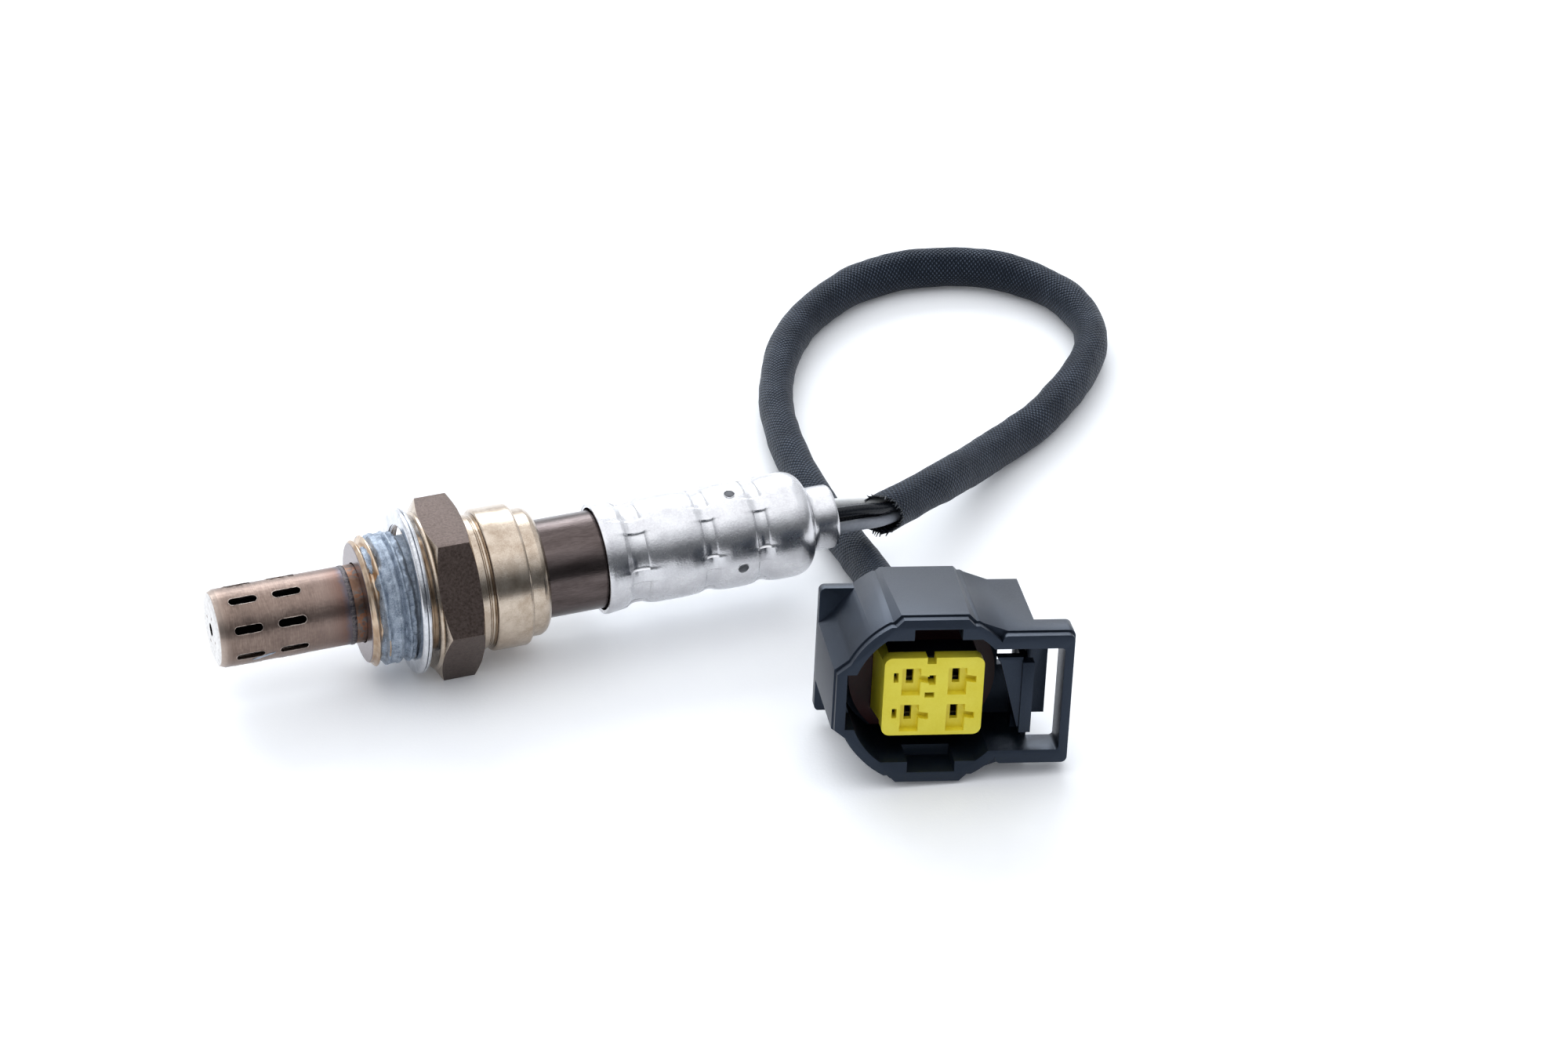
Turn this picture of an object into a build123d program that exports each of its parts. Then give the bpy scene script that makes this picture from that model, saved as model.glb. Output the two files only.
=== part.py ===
"""Heated exhaust oxygen sensor: perforated tip, M18 hexagon shell, waisted cover, four wires in a braided sleeve and a four-way socket.

Row frame: X runs along the sensor's axis from the tip to the neck, Z is up from the surface that a flat of the hexagon rests on, and the origin is under the middle of the sensor."""

import math
import os

from build123d import *

os.makedirs("parts", exist_ok=True)

# ---------------------------------------------------------------- driving dimensions, mm
hex_af = 22.0  # across the flats of the hexagon
thread_d = 18.0  # M18 x 1.5 nose thread
thread_pitch = 1.5
nose_len = 9.3  # from the hexagon's front face to the nose face
tip_len = 20.4  # of the shroud that stands out of the nose
hex_len = 5.7
collar_len = 10.4  # rings behind the hexagon, to the end of the crimped lip
cover_start = 24.4  # front edge of the outer cover, from the hexagon's front face
cover_len = 34.5
wall = 0.45  # sheet of the covers
shroud_d = 10.8
tube_d = 13.74  # dark inner tube
cover_fit = 0.53  # that the bulges of the outer cover stand over the tube
neck_d = 9.0
wire_d = 1.6
sleeve_w = 5.3  # braided sleeve, across
sleeve_h = 6.5  # braided sleeve, upright
sleeve_wall = 0.3
shroud_r_plug = 12.6  # round part of the plug's shroud
plug_len = 17.5
plug_wall = 1.65

# ---------------------------------------------------------------- derived
axis_z = hex_af / 2
sensor_len = tip_len + nose_len + cover_start + cover_len
x_hex = -sensor_len / 2 + tip_len + nose_len
AXIS = Axis((0, 0, axis_z), (1, 0, 0))

r_thread = thread_d / 2
r_under = r_thread - 1.0  # undercut behind the thread
r_shroud = shroud_d / 2
r_tube = tube_d / 2
r_cover = r_tube + cover_fit
r_waist = r_cover - 0.7
r_neck = neck_d / 2
r_wire = wire_d / 2
r_flange = r_tube + 0.43  # foot of the inner cover, under the crimped lip
r_bore = 5.9  # middle bore of the shell
r_elem = 4.0  # sensing element behind its flange
r_elem_bore = 1.9
r_heater = 1.35

s_nose = -nose_len
s_tip = -nose_len - tip_len
s_weld = s_nose - 1.7
s_floor = s_nose + 2.5  # floor of the nose counterbore
s_hex_end = hex_len
s_lip = hex_len + collar_len
s_cover_end = cover_start + cover_len
s_w1 = cover_start + 4.6  # waists of the outer cover
s_w2 = cover_start + 15.0
s_w3 = cover_start + 22.6
s_shoulder = cover_start + 30.4
s_flange = s_lip - 3.5  # foot of the inner cover
s_wire = cover_start + 9.0  # where the wires start, inside the rear insulator


def at(s, r):
    """The point of the turned profile at station s from the hexagon's front face and radius r."""
    return (x_hex + s, axis_z + r)


def turn(points, mode=Mode.ADD):
    """Turns the closed outline of (station, radius) points about the sensor's axis."""
    with BuildSketch(Plane.XZ) as section:
        with BuildLine():
            Polyline([at(s, r) for s, r in points], close=True)
        make_face()
    revolve(section.sketch, axis=AXIS, mode=mode)


def cross(s):
    """The plane across the sensor's axis at station s, X toward -Y and Y up."""
    return Plane(origin=(x_hex + s, 0, axis_z), x_dir=(0, -1, 0), z_dir=(-1, 0, 0))


def around(s, r, phi):
    """The point at station s, radius r and angle phi, from level on the -Y side toward up."""
    a = math.radians(phi)
    return (x_hex + s, -r * math.cos(a), axis_z + r * math.sin(a))


# ---------------------------------------------------------------- sensing tip
slot_len = 4.0
slot_w = 1.2
slot_rows = (s_tip + 4.25, s_tip + 10.3)
slot_first = 26.0

with BuildPart() as outer_shroud:
    turn(
        [
            (s_tip, 0.9),
            (s_tip, r_shroud - 1.0),
            (s_tip + 0.3, r_shroud - 0.3),
            (s_tip + 1.0, r_shroud),
            (s_weld, r_shroud),
            (s_weld, r_shroud - wall),
            (s_tip + 1.1, r_shroud - wall),
            (s_tip + 0.6, r_shroud - 1.0),
            (s_tip + wall, r_shroud - 1.3),
            (s_tip + wall, 0.9),
        ]
    )
    for row in slot_rows:
        for k in range(8):
            a = slot_first + 45 * k
            p = around(row, r_shroud, a)
            out = (0, -math.cos(math.radians(a)), math.sin(math.radians(a)))
            with BuildSketch(Plane(origin=p, x_dir=(1, 0, 0), z_dir=out)):
                SlotOverall(slot_len, slot_w)
            extrude(amount=1.0, both=True, mode=Mode.SUBTRACT)
outer_shroud.part.label = "outer_shroud"

with BuildPart() as shroud_base:
    turn(
        [
            (s_weld, r_shroud),
            (s_floor, r_shroud),
            (s_floor, 4.2),
            (s_floor - 0.8, 4.2),
            (s_floor - 0.8, r_shroud - wall),
            (s_weld, r_shroud - wall),
        ]
    )
shroud_base.part.label = "shroud_base"

with BuildPart() as inner_shroud:
    turn(
        [
            (s_tip + 1.6, 0),
            (s_tip + 1.6, 3.7),
            (s_tip + 2.1, 4.2),
            (s_floor, 4.2),
            (s_floor, 3.8),
            (s_tip + 2.2, 3.8),
            (s_tip + 2.0, 3.6),
            (s_tip + 2.0, 0),
        ]
    )
    for k in range(3):
        out = (0, -math.cos(math.pi * k / 3), math.sin(math.pi * k / 3))
        with BuildSketch(Plane(origin=(x_hex + s_tip + 15.2, 0, axis_z), x_dir=(1, 0, 0), z_dir=out)):
            Circle(0.8)
        extrude(amount=6, both=True, mode=Mode.SUBTRACT)
    with BuildSketch(cross(s_tip + 1.5)):
        Circle(0.8)
    extrude(amount=-1, mode=Mode.SUBTRACT)
inner_shroud.part.label = "inner_shroud"

# ---------------------------------------------------------------- shell
s_seat = -0.5
r_seat = hex_af / 2
r_corner = hex_af / math.sqrt(3)
r_ring = r_seat - 1.6
r_wide = r_seat - 1.1
r_small = r_seat - 2.1
s_groove = s_hex_end + 1.9
s_wide = s_groove + 0.45
s_small = s_lip - 3.0

with BuildPart() as shell:
    with BuildSketch(cross(0)):
        RegularPolygon(radius=hex_af / 2, side_count=6, major_radius=False, rotation=0)
    extrude(amount=-hex_len)
    turn(
        [
            (0, 0),
            (0, r_seat + 0.1),
            (0.75, r_corner + 0.05),
            (hex_len - 0.75, r_corner + 0.05),
            (hex_len, r_seat + 0.1),
            (hex_len, 0),
        ],
        mode=Mode.INTERSECT,
    )
    turn(
        [
            (s_nose, 0),
            (s_nose, r_thread - 0.8),
            (s_nose + 0.8, r_thread),
            (-3.4, r_thread),
            (-3.1, r_under),
            (s_seat, r_under),
            (s_seat, r_seat),
            (0.1, r_seat),
            (0.1, 0),
        ]
    )
    turn(
        [
            (hex_len - 0.1, 0),
            (hex_len - 0.1, r_ring),
            (s_groove, r_ring),
            (s_groove, r_ring - 0.4),
            (s_wide, r_ring - 0.4),
            (s_wide, r_wide - 0.25),
            (s_wide + 0.25, r_wide),
            (s_small - 0.3, r_wide),
            (s_small, r_wide - 0.3),
            (s_small, r_small),
            (s_lip - 1.3, r_small),
            (s_lip - 0.5, r_small - 0.35),
            (s_lip - 0.1, r_small - 0.95),
            (s_lip, r_small - 1.4),
            (s_lip, 0),
        ]
    )
    turn(
        [
            (s_nose - 0.1, 0),
            (s_nose - 0.1, r_shroud + 0.15),
            (s_floor, r_shroud + 0.15),
            (s_floor, 3.9),
            (-3.0, 3.9),
            (-1.4, r_bore),
            (hex_len + 1.8, r_bore),
            (hex_len + 1.8, r_flange),
            (s_flange + 0.7, r_flange),
            (s_flange + 0.7, r_tube),
            (s_lip + 0.1, r_tube),
            (s_lip + 0.1, 0),
        ],
        mode=Mode.SUBTRACT,
    )
shell.part.label = "shell"

# the folded gasket hangs loose in the undercut and stands on the same surface as the hexagon's flat
gasket_lift = 0.5
gasket_w = 1.45
gasket_axis = Axis((0, 0, axis_z + gasket_lift), (1, 0, 0))
r_gasket = axis_z + gasket_lift
r_lip = r_under + gasket_lift
s_gasket = s_seat - 1.0 - gasket_w

with BuildPart() as gasket:
    with BuildSketch(Plane.XZ) as fold:
        with BuildLine():
            Polyline(
                [
                    (x_hex + s_gasket + s, axis_z + gasket_lift + r)
                    for s, r in [
                        (0.3, r_lip),
                        (0, r_thread + gasket_lift + 0.15),
                        (0, r_gasket - 0.45),
                        (0.2, r_gasket - 0.1),
                        (gasket_w / 2 - 0.15, r_gasket),
                        (gasket_w / 2, r_gasket - 0.45),
                        (gasket_w / 2 + 0.15, r_gasket),
                        (gasket_w - 0.2, r_gasket - 0.1),
                        (gasket_w, r_gasket - 0.5),
                        (gasket_w, r_lip + 0.9),
                        (0.75, r_lip + 0.9),
                        (0.65, r_lip),
                    ]
                ],
                close=True,
            )
        make_face()
    revolve(fold.sketch, axis=gasket_axis)
gasket.part.label = "gasket"

# ---------------------------------------------------------------- inside of the sensor
with BuildPart() as sensing_element:
    turn(
        [
            (s_tip + 2.6, 0),
            (s_tip + 2.8, 1.2),
            (s_tip + 3.4, 2.1),
            (s_tip + 4.4, 2.6),
            (-6.0, 3.1),
            (-3.2, 3.1),
            (-2.951, 3.4),
            (-1.227, 5.556),
            (-1.1, 5.6),
            (2.5, 5.6),
            (2.5, r_elem),
            (21.0, r_elem),
            (21.0, r_elem_bore),
            (s_tip + 5.2, r_elem_bore),
            (s_tip + 4.2, 1.4),
            (s_tip + 3.9, 0),
        ]
    )
sensing_element.part.label = "sensing_element"

with BuildPart() as seat_washer:
    turn([(-2.9, 4.025), (-1.5, 5.775), (-1.227, 5.556), (-2.627, 3.806)])
seat_washer.part.label = "seat_washer"

with BuildPart() as powder_packing:
    turn([(2.5, r_elem), (2.5, r_bore), (7.0, r_bore), (7.0, r_elem)])
powder_packing.part.label = "powder_packing"

with BuildPart() as packing_bush:
    turn(
        [
            (7.0, r_elem),
            (7.0, r_bore),
            (hex_len + 1.8, r_bore),
            (hex_len + 1.8, r_flange),
            (s_flange - 1.2, r_flange),
            (s_flange - 1.2, r_elem),
        ]
    )
packing_bush.part.label = "packing_bush"

with BuildPart() as crimp_ring:
    turn(
        [
            (s_flange - 1.2, r_flange - 1.3),
            (s_flange - 1.2, r_flange),
            (s_flange, r_flange),
            (s_flange, r_flange - 1.3),
        ]
    )
crimp_ring.part.label = "crimp_ring"

with BuildPart() as heater_rod:
    turn([(s_tip + 5.0, 0), (s_tip + 5.0, r_heater), (26.0, r_heater), (26.0, 0)])
heater_rod.part.label = "heater_rod"

# the four wires leave the neck on a square, turned so that each is seen from the side
wire_ring = 1.95
wire_off = {
    "white_wire": (0.8 * wire_ring, 0.6 * wire_ring),
    "black_wire_a": (-0.6 * wire_ring, 0.8 * wire_ring),
    "black_wire_b": (0.6 * wire_ring, -0.8 * wire_ring),
    "grey_wire": (-0.8 * wire_ring, -0.6 * wire_ring),
}
# side (left or right of the run) and level (up or down) of each wire in the bundle
wire_lane = {
    "white_wire": (1, 1),
    "black_wire_a": (-1, 1),
    "black_wire_b": (1, -1),
    "grey_wire": (-1, -1),
}


def tab(r_in, r_out, s0, s1, wire, width=1.3, gap=0.0):
    """A contact: a split collar from station s0 to s1 with a tail that runs back to its wire."""
    y, z = wire_off[wire]
    a = math.degrees(math.atan2(z, -y))
    with BuildSketch(cross(s0)) as collar:
        Circle(r_out)
        Circle(r_in, mode=Mode.SUBTRACT)
        with Locations(Rotation(0, 0, a + 180) * Location((r_out, 0, 0))):
            Rectangle(2 * r_out, 1.4, mode=Mode.SUBTRACT)
    extrude(collar.sketch, amount=s0 - s1)


with BuildPart() as outer_contact:
    tab(r_elem, r_elem + 0.35, 15.0, 20.0, "black_wire_a")
    y, z = wire_off["black_wire_a"]
    with BuildSketch(cross(19.5)):
        with Locations(Location((-y * 2.16, z * 2.16, 0), (0, 0, 1), math.degrees(math.atan2(z, -y)))):
            Rectangle(0.35, 1.4)
    extrude(amount=19.5 - (s_w1 - 1.6))
    with BuildSketch(cross(s_w1 - 2.0)):
        with Locations((-y * 1.55, z * 1.55)):
            with Locations(Location((0, 0, 0), (0, 0, 1), math.degrees(math.atan2(z, -y)))):
                Rectangle(2.6, 1.0)
    extrude(amount=-0.4)
    with BuildSketch(cross(s_w1 - 2.0)):
        with Locations((-y, z)):
            Circle(0.5)
    extrude(amount=s_w1 - 2.0 - s_wire)
outer_contact.part.label = "outer_contact"

with BuildPart() as inner_contact:
    turn(
        [
            (13.0, r_heater + 0.1),
            (13.0, r_elem_bore),
            (21.0, r_elem_bore),
            (21.0, r_elem_bore + 0.8),
            (21.4, r_elem_bore + 0.8),
            (21.4, r_heater + 0.1),
        ]
    )
    y, z = wire_off["grey_wire"]
    with BuildSketch(cross(21.2)):
        with Locations((-y, z)):
            Circle(0.5)
    extrude(amount=21.2 - s_wire)
inner_contact.part.label = "inner_contact"


def heater_clip(wire):
    """A clip that grips one side of the heater rod, with a tail to its wire."""
    y, z = wire_off[wire]
    a = math.degrees(math.atan2(z, -y))
    with BuildSketch(cross(22.6)) as clip:
        Circle(r_heater + 0.35)
        Circle(r_heater, mode=Mode.SUBTRACT)
        with Locations(Location((0, 0, 0), (0, 0, 1), a)):
            with Locations((-r_heater, 0)):
                Rectangle(2 * (2 * r_heater - 0.1), 4 * r_heater, mode=Mode.SUBTRACT)
    extrude(clip.sketch, amount=-2.8)
    with BuildSketch(cross(23.6)) as tail:
        with Locations((-y, z)):
            Circle(0.5)
    extrude(tail.sketch, amount=23.6 - s_wire)


with BuildPart() as heater_contact_a:
    heater_clip("white_wire")
heater_contact_a.part.label = "heater_contact_a"

with BuildPart() as heater_contact_b:
    heater_clip("black_wire_b")
heater_contact_b.part.label = "heater_contact_b"

# ---------------------------------------------------------------- covers
r_tube_rear = r_waist - wall  # inner tube where the waists press the cover on it
s_tube_end = s_w2 - 1.0
with BuildPart() as inner_cover:
    turn(
        [
            (s_flange, r_tube - wall),
            (s_flange, r_flange),
            (s_flange + 0.7, r_flange),
            (s_flange + 0.7, r_tube),
            (s_w1 - 1.9, r_tube),
            (s_w1 - 1.1, r_tube_rear),
            (s_tube_end, r_tube_rear),
            (s_tube_end, r_tube_rear - wall),
            (s_w1 - 1.0, r_tube_rear - wall),
            (s_w1 - 1.8, r_tube - wall),
        ]
    )
inner_cover.part.label = "inner_cover"

r_ins = r_tube_rear - wall
with BuildPart() as rear_insulator:
    turn([(s_w1 - 0.6, 0), (s_w1 - 0.6, r_ins), (s_tube_end - 1.0, r_ins), (s_tube_end - 1.0, 0)])
    with BuildSketch(cross(s_w1 - 0.6)):
        for y, z in wire_off.values():
            with Locations((-y, z)):
                Circle(r_wire)
    extrude(amount=-20, mode=Mode.SUBTRACT)
rear_insulator.part.label = "rear_insulator"

with BuildPart() as insulator_spring:
    turn(
        [
            (s_tube_end - 1.0, r_ins - 0.9),
            (s_tube_end - 1.0, r_ins),
            (s_tube_end, r_ins),
            (s_tube_end, r_ins - 0.5),
            (s_tube_end - 0.6, r_ins - 0.9),
        ]
    )
insulator_spring.part.label = "insulator_spring"

s_filter_end = s_w3 + 0.7
with BuildPart() as filter_sleeve:
    turn(
        [
            (s_tube_end, r_ins - 0.5),
            (s_tube_end, r_tube_rear - 0.45),
            (s_filter_end, r_tube_rear - 0.45),
            (s_filter_end, r_ins - 0.5),
        ]
    )
    for k in range(2):
        with BuildSketch(
            Plane(
                origin=(x_hex + (s_w2 + s_w3) / 2, 0, axis_z),
                x_dir=(1, 0, 0),
                z_dir=(0, -math.cos(math.pi * (k / 2 + 0.25)), math.sin(math.pi * (k / 2 + 0.25))),
            )
        ):
            Circle(0.9)
        extrude(amount=8, both=True, mode=Mode.SUBTRACT)
filter_sleeve.part.label = "filter_sleeve"

with BuildPart() as vent_filter:
    turn(
        [
            (s_tube_end, r_tube_rear - 0.45),
            (s_tube_end, r_tube_rear),
            (s_filter_end, r_tube_rear),
            (s_filter_end, r_tube_rear - 0.45),
        ]
    )
vent_filter.part.label = "vent_filter"

cover_outer = [
    (cover_start, r_cover + 0.38),
    (cover_start + 0.5, r_cover + 0.4),
    (cover_start + 2.2, r_cover + 0.1),
    (s_w1 - 1.3, r_cover),
    (s_w1 - 0.7, r_waist),
    (s_w1 + 0.7, r_waist),
    (s_w1 + 1.6, r_cover - 0.15),
    (s_w1 + 3.0, r_cover),
    (s_w2 - 2.4, r_cover),
    (s_w2 - 1.0, r_cover - 0.2),
    (s_w2 - 0.3, r_waist),
    (s_w2 + 0.3, r_waist),
    (s_w2 + 1.0, r_cover - 0.2),
    (s_w2 + 2.2, r_cover),
    (s_w3 - 2.2, r_cover),
    (s_w3 - 1.0, r_cover - 0.2),
    (s_w3 - 0.3, r_waist),
    (s_w3 + 0.3, r_waist),
    (s_w3 + 1.0, r_cover - 0.2),
    (s_w3 + 2.2, r_cover),
    (s_shoulder - 2.4, r_cover),
    (s_shoulder - 1.2, r_cover - 0.45),
    (s_shoulder - 0.4, r_cover - 1.25),
    (s_shoulder - 0.05, r_cover - 2.2),
    (s_shoulder, r_neck + 0.15),
    (s_shoulder + 0.25, r_neck),
    (s_cover_end - 0.5, r_neck),
    (s_cover_end - 0.1, r_neck - 0.2),
    (s_cover_end, r_neck - wall),
]
cover_inner = [
    (s_shoulder - wall, r_neck - wall),
    (s_shoulder - wall - 0.05, r_cover - 2.3),
    (s_shoulder - 0.8, r_cover - 1.5),
    (s_shoulder - 1.5, r_cover - 0.85),
    (s_shoulder - 2.5, r_cover - wall),
    (s_w3 + 2.3, r_cover - wall),
    (s_w3 + 1.2, r_cover - 0.2 - wall),
    (s_w3 + 0.5, r_waist - wall),
    (s_w3 - 0.5, r_waist - wall),
    (s_w3 - 1.2, r_cover - 0.2 - wall),
    (s_w3 - 2.3, r_cover - wall),
    (s_w2 + 2.3, r_cover - wall),
    (s_w2 + 1.2, r_cover - 0.2 - wall),
    (s_w2 + 0.5, r_waist - wall),
    (s_w2 - 0.5, r_waist - wall),
    (s_w2 - 1.2, r_cover - 0.2 - wall),
    (s_w2 - 2.5, r_cover - wall),
    (s_w1 + 3.1, r_cover - wall),
    (s_w1 + 1.8, r_cover - 0.15 - wall),
    (s_w1 + 0.9, r_waist - wall),
    (s_w1 - 0.9, r_waist - wall),
    (s_w1 - 1.5, r_tube + 0.06),
    (cover_start + 2.2, r_cover + 0.1 - wall),
    (cover_start, r_cover + 0.38 - wall),
]
vent_s = (s_w2 + s_w3) / 2 + 0.4
with BuildPart() as outer_cover:
    turn(cover_outer + cover_inner)
    for k in range(4):
        a = math.radians(88 - 90 * k - 5)
        with BuildSketch(
            Plane(
                origin=around(vent_s, r_cover, math.degrees(a)),
                x_dir=(1, 0, 0),
                z_dir=(0, -math.cos(a), math.sin(a)),
            )
        ):
            Circle(0.75)
        extrude(amount=0.8, both=True, mode=Mode.SUBTRACT)
outer_cover.part.label = "outer_cover"

with BuildPart() as grommet:
    turn(
        [
            (s_filter_end, 0),
            (s_filter_end, r_ins - 0.1),
            (s_filter_end + 0.8, r_waist - wall - 0.1),
            (s_filter_end + 1.9, r_cover - wall - 0.25),
            (s_shoulder - 2.6, r_cover - wall - 0.1),
            (s_shoulder - 1.7, r_cover - 1.1),
            (s_shoulder - 0.7, r_cover - 2.4),
            (s_shoulder - wall, r_neck - wall),
            (s_cover_end - 0.25, r_neck - wall),
            (s_cover_end - 0.25, 0),
        ]
    )
    with BuildSketch(cross(s_filter_end)):
        for y, z in wire_off.values():
            with Locations((-y, z)):
                Circle(r_wire)
    extrude(amount=-20, mode=Mode.SUBTRACT)
grommet.part.label = "grommet"

# ---------------------------------------------------------------- lead: braided sleeve and four wires
# hand-laid run of the sleeve's centreline from its open mouth, round the loop and under the wires to the plug
lead_z = 3.3
mouth = (x_hex + 66.5, 0.2, axis_z - 1.4)
run_points = [
    mouth,
    (x_hex + 76.4, 6.6, 8.0),
    (x_hex + 89.8, 18.7, lead_z),
    (x_hex + 103.6, 27.8, lead_z),
    (x_hex + 118.1, 45.4, lead_z),
    (x_hex + 112.8, 65.9, lead_z),
    (x_hex + 93.1, 73.6, lead_z),
    (x_hex + 75.0, 63.6, lead_z),
    (x_hex + 63.9, 43.8, lead_z),
    (x_hex + 61.2, 19.0, lead_z),
    (x_hex + 63.6, -7.6, lead_z),
    (x_hex + 61.3, -22.9, 7.8),
]


def vec(a, b):
    """The vector from point a to point b."""
    return [q - p for p, q in zip(a, b)]


def bend_radii(points):
    """The radius of each bend: arcs take 0.45 of the shorter run beside them."""
    out = []
    for a, b, c in zip(points, points[1:], points[2:]):
        u, v = Vector(*vec(a, b)), Vector(*vec(b, c))
        half = math.radians(u.get_angle(v)) / 2
        out.append(0.45 * min(u.length, v.length) / math.tan(half))
    return out


def lane(points, side, level):
    """The run moved sideways by side (left of travel, in plan) and up by level."""
    out = []
    for i, p in enumerate(points):
        legs = []
        if i:
            legs.append(vec(points[i - 1], p))
        if i < len(points) - 1:
            legs.append(vec(p, points[i + 1]))
        ns = []
        for leg in legs:
            ln = math.hypot(leg[0], leg[1])
            ns.append((-leg[1] / ln, leg[0] / ln))
        nx = sum(n[0] for n in ns) / len(ns)
        ny = sum(n[1] for n in ns) / len(ns)
        k = side / (nx * nx + ny * ny)
        out.append((p[0] + nx * k, p[1] + ny * k, p[2] + level))
    return out


# ---------------------------------------------------------------- plug frame
plug_tilt = math.radians(9.5)
plug_roll = math.radians(4.0)
plug_yaw = math.radians(10.4)
d_dir = Vector(
    math.sin(plug_yaw) * math.cos(plug_tilt),
    math.cos(plug_yaw) * math.cos(plug_tilt),
    -math.sin(plug_tilt),
)
w_flat = Vector(math.cos(plug_yaw), -math.sin(plug_yaw), 0)
u_flat = w_flat.cross(d_dir)
w_dir = w_flat * math.cos(plug_roll) - u_flat * math.sin(plug_roll)
u_dir = w_dir.cross(d_dir)
plug_mid = shroud_r_plug - 0.5  # height of the plug's centre over its bottom keyway
plug_foot = Vector(x_hex + 55.49, -49.8, 0.23)
plug_foot = plug_foot + Vector(0, 0, (r_wire * 5.1) * math.sin(plug_roll))


def plug_at(w, u, d):
    """The point of the plug w across, u up from its centre and d back from its front face."""
    return plug_foot + w_dir * w + u_dir * (u + plug_mid) + d_dir * d


def plug_plane(d):
    """The plane across the plug d back from its front face, its normal forward."""
    return Plane(origin=plug_at(0, 0, d), x_dir=w_dir, z_dir=d_dir * -1)


pin_w = 3.1
pin_u = 2.65
tower_off = 0.4  # the tower and its terminals stand a little toward the latch
pin_at = {
    "white_wire": (tower_off + pin_w, pin_u),
    "black_wire_a": (tower_off - pin_w, pin_u),
    "black_wire_b": (tower_off + pin_w, -pin_u),
    "grey_wire": (tower_off - pin_w, -pin_u),
}
lane_off = r_wire + 0.1
wires = {}
for name, (y, z) in wire_off.items():
    side, level = wire_lane[name]
    laid = lane(run_points, side * lane_off, level * lane_off)
    pw, pu = pin_at[name]
    points = [
        (x_hex + s_wire, y, axis_z + z),
        (x_hex + s_cover_end + 3.0, y, axis_z + z),
        *laid,
        tuple(plug_at(pw, pu, plug_len + 2.4)),
        tuple(plug_at(pw, pu, plug_len - 6.0)),
    ]
    radii = bend_radii(points)
    with BuildPart() as wire:
        with BuildLine() as path:
            FilletPolyline(*points, radius=radii)
        laid_path = path.wire()
        with BuildSketch(Plane(origin=laid_path @ 0, z_dir=laid_path % 0)):
            Circle(r_wire)
        sweep(path=laid_path)
    wire.part.label = name
    wires[name] = wire
    print(
        name,
        "length %.1f" % laid_path.length,
        "smallest bend %.1f" % min(radii),
        "volume ratio %.4f" % (wire.part.volume / (math.pi * r_wire**2 * laid_path.length)),
    )

with BuildPart() as braided_sleeve:
    with BuildLine() as run:
        FilletPolyline(*run_points, radius=bend_radii(run_points))
    run_path = run.wire()
    start = run_path % 0
    flat = Vector(start.Y, -start.X, 0).normalized()
    with BuildSketch(Plane(origin=run_path @ 0, x_dir=flat, z_dir=start)):
        Ellipse(sleeve_w / 2, sleeve_h / 2)
        Ellipse(sleeve_w / 2 - sleeve_wall, sleeve_h / 2 - sleeve_wall, mode=Mode.SUBTRACT)
    sweep(path=run_path)
braided_sleeve.part.label = "braided_sleeve"
ring = math.pi * (
    sleeve_w * sleeve_h - (sleeve_w - 2 * sleeve_wall) * (sleeve_h - 2 * sleeve_wall)
) / 4
print(
    "braided_sleeve length %.1f" % run_path.length,
    "bends", [round(r, 1) for r in bend_radii(run_points)],
    "volume ratio %.4f" % (braided_sleeve.part.volume / (ring * run_path.length)),
)

# ---------------------------------------------------------------- plug
r_in = shroud_r_plug - plug_wall
half_out = shroud_r_plug - 1.5  # flats that clip the round shroud above and below
half_in = half_out - 2.2
key_w = 4.3
rib_w = 4.55
key_in = 3.2
key_top = shroud_r_plug - 0.5
key_left = shroud_r_plug + 0.5
latch_in = 9.0
latch_out = 19.0
latch_h = 9.6
latch_wall = 2.15
room_h = latch_h - latch_wall
body_right = 13.9
side_wall = 0.7
guard_len = 4.6
cavity_len = 11.5
key_len = 5.2
lock_d = 1.5  # face of the terminal lock behind the mouth
lock_t = 2.0
tower_left = 5.6  # the tower's sides from its middle; the terminal lock's skirt lies along the left one
tower_right = 6.5
tower_h = 5.0
rib_drop = 0.5  # fall of the top rib from the mouth to the rear flange
flange_t = 1.6
rim = 0.25  # step of the rim behind the mouth's edge
rim_len = 1.2
arm_w = 12.15  # latch arm: its plate from the plug's centre
arm_t = 0.95
arm_h = 5.3
arm_top = 4.95
arm_len = 8.0
bottom_draft = 11.63  # degrees, from the front keyway up to the rear flange
tower_mid = tower_off + (tower_right - tower_left) / 2


def plug_outline(grow=0.0):
    """The plug's outer outline: clipped circle and three keyways, their flanks sloped."""
    with BuildSketch(mode=Mode.PRIVATE) as disc:
        Circle(shroud_r_plug + grow)
        Rectangle(60, 2 * (half_out + grow), mode=Mode.INTERSECT)
    add(disc.sketch)
    for side in (1, -1):
        Polygon(
            (rib_w + 1.0, side * (half_out + grow - 1.0)),
            (rib_w + 1.0 + grow, side * (half_out + grow)),
            (rib_w + grow, side * (key_top + grow)),
            (-rib_w - grow, side * (key_top + grow)),
            (-rib_w - 1.0 - grow, side * (half_out + grow)),
            (-rib_w - 1.0, side * (half_out + grow - 1.0)),
            align=(Align.NONE, Align.NONE),
        )
    Polygon(
        (-key_left + 4.0, key_w + 3.0 + grow),
        (-key_left - grow, key_w + grow),
        (-key_left - grow, -key_w - grow),
        (-key_left + 4.0, -key_w - 3.0 - grow),
        align=(Align.NONE, Align.NONE),
    )


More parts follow.
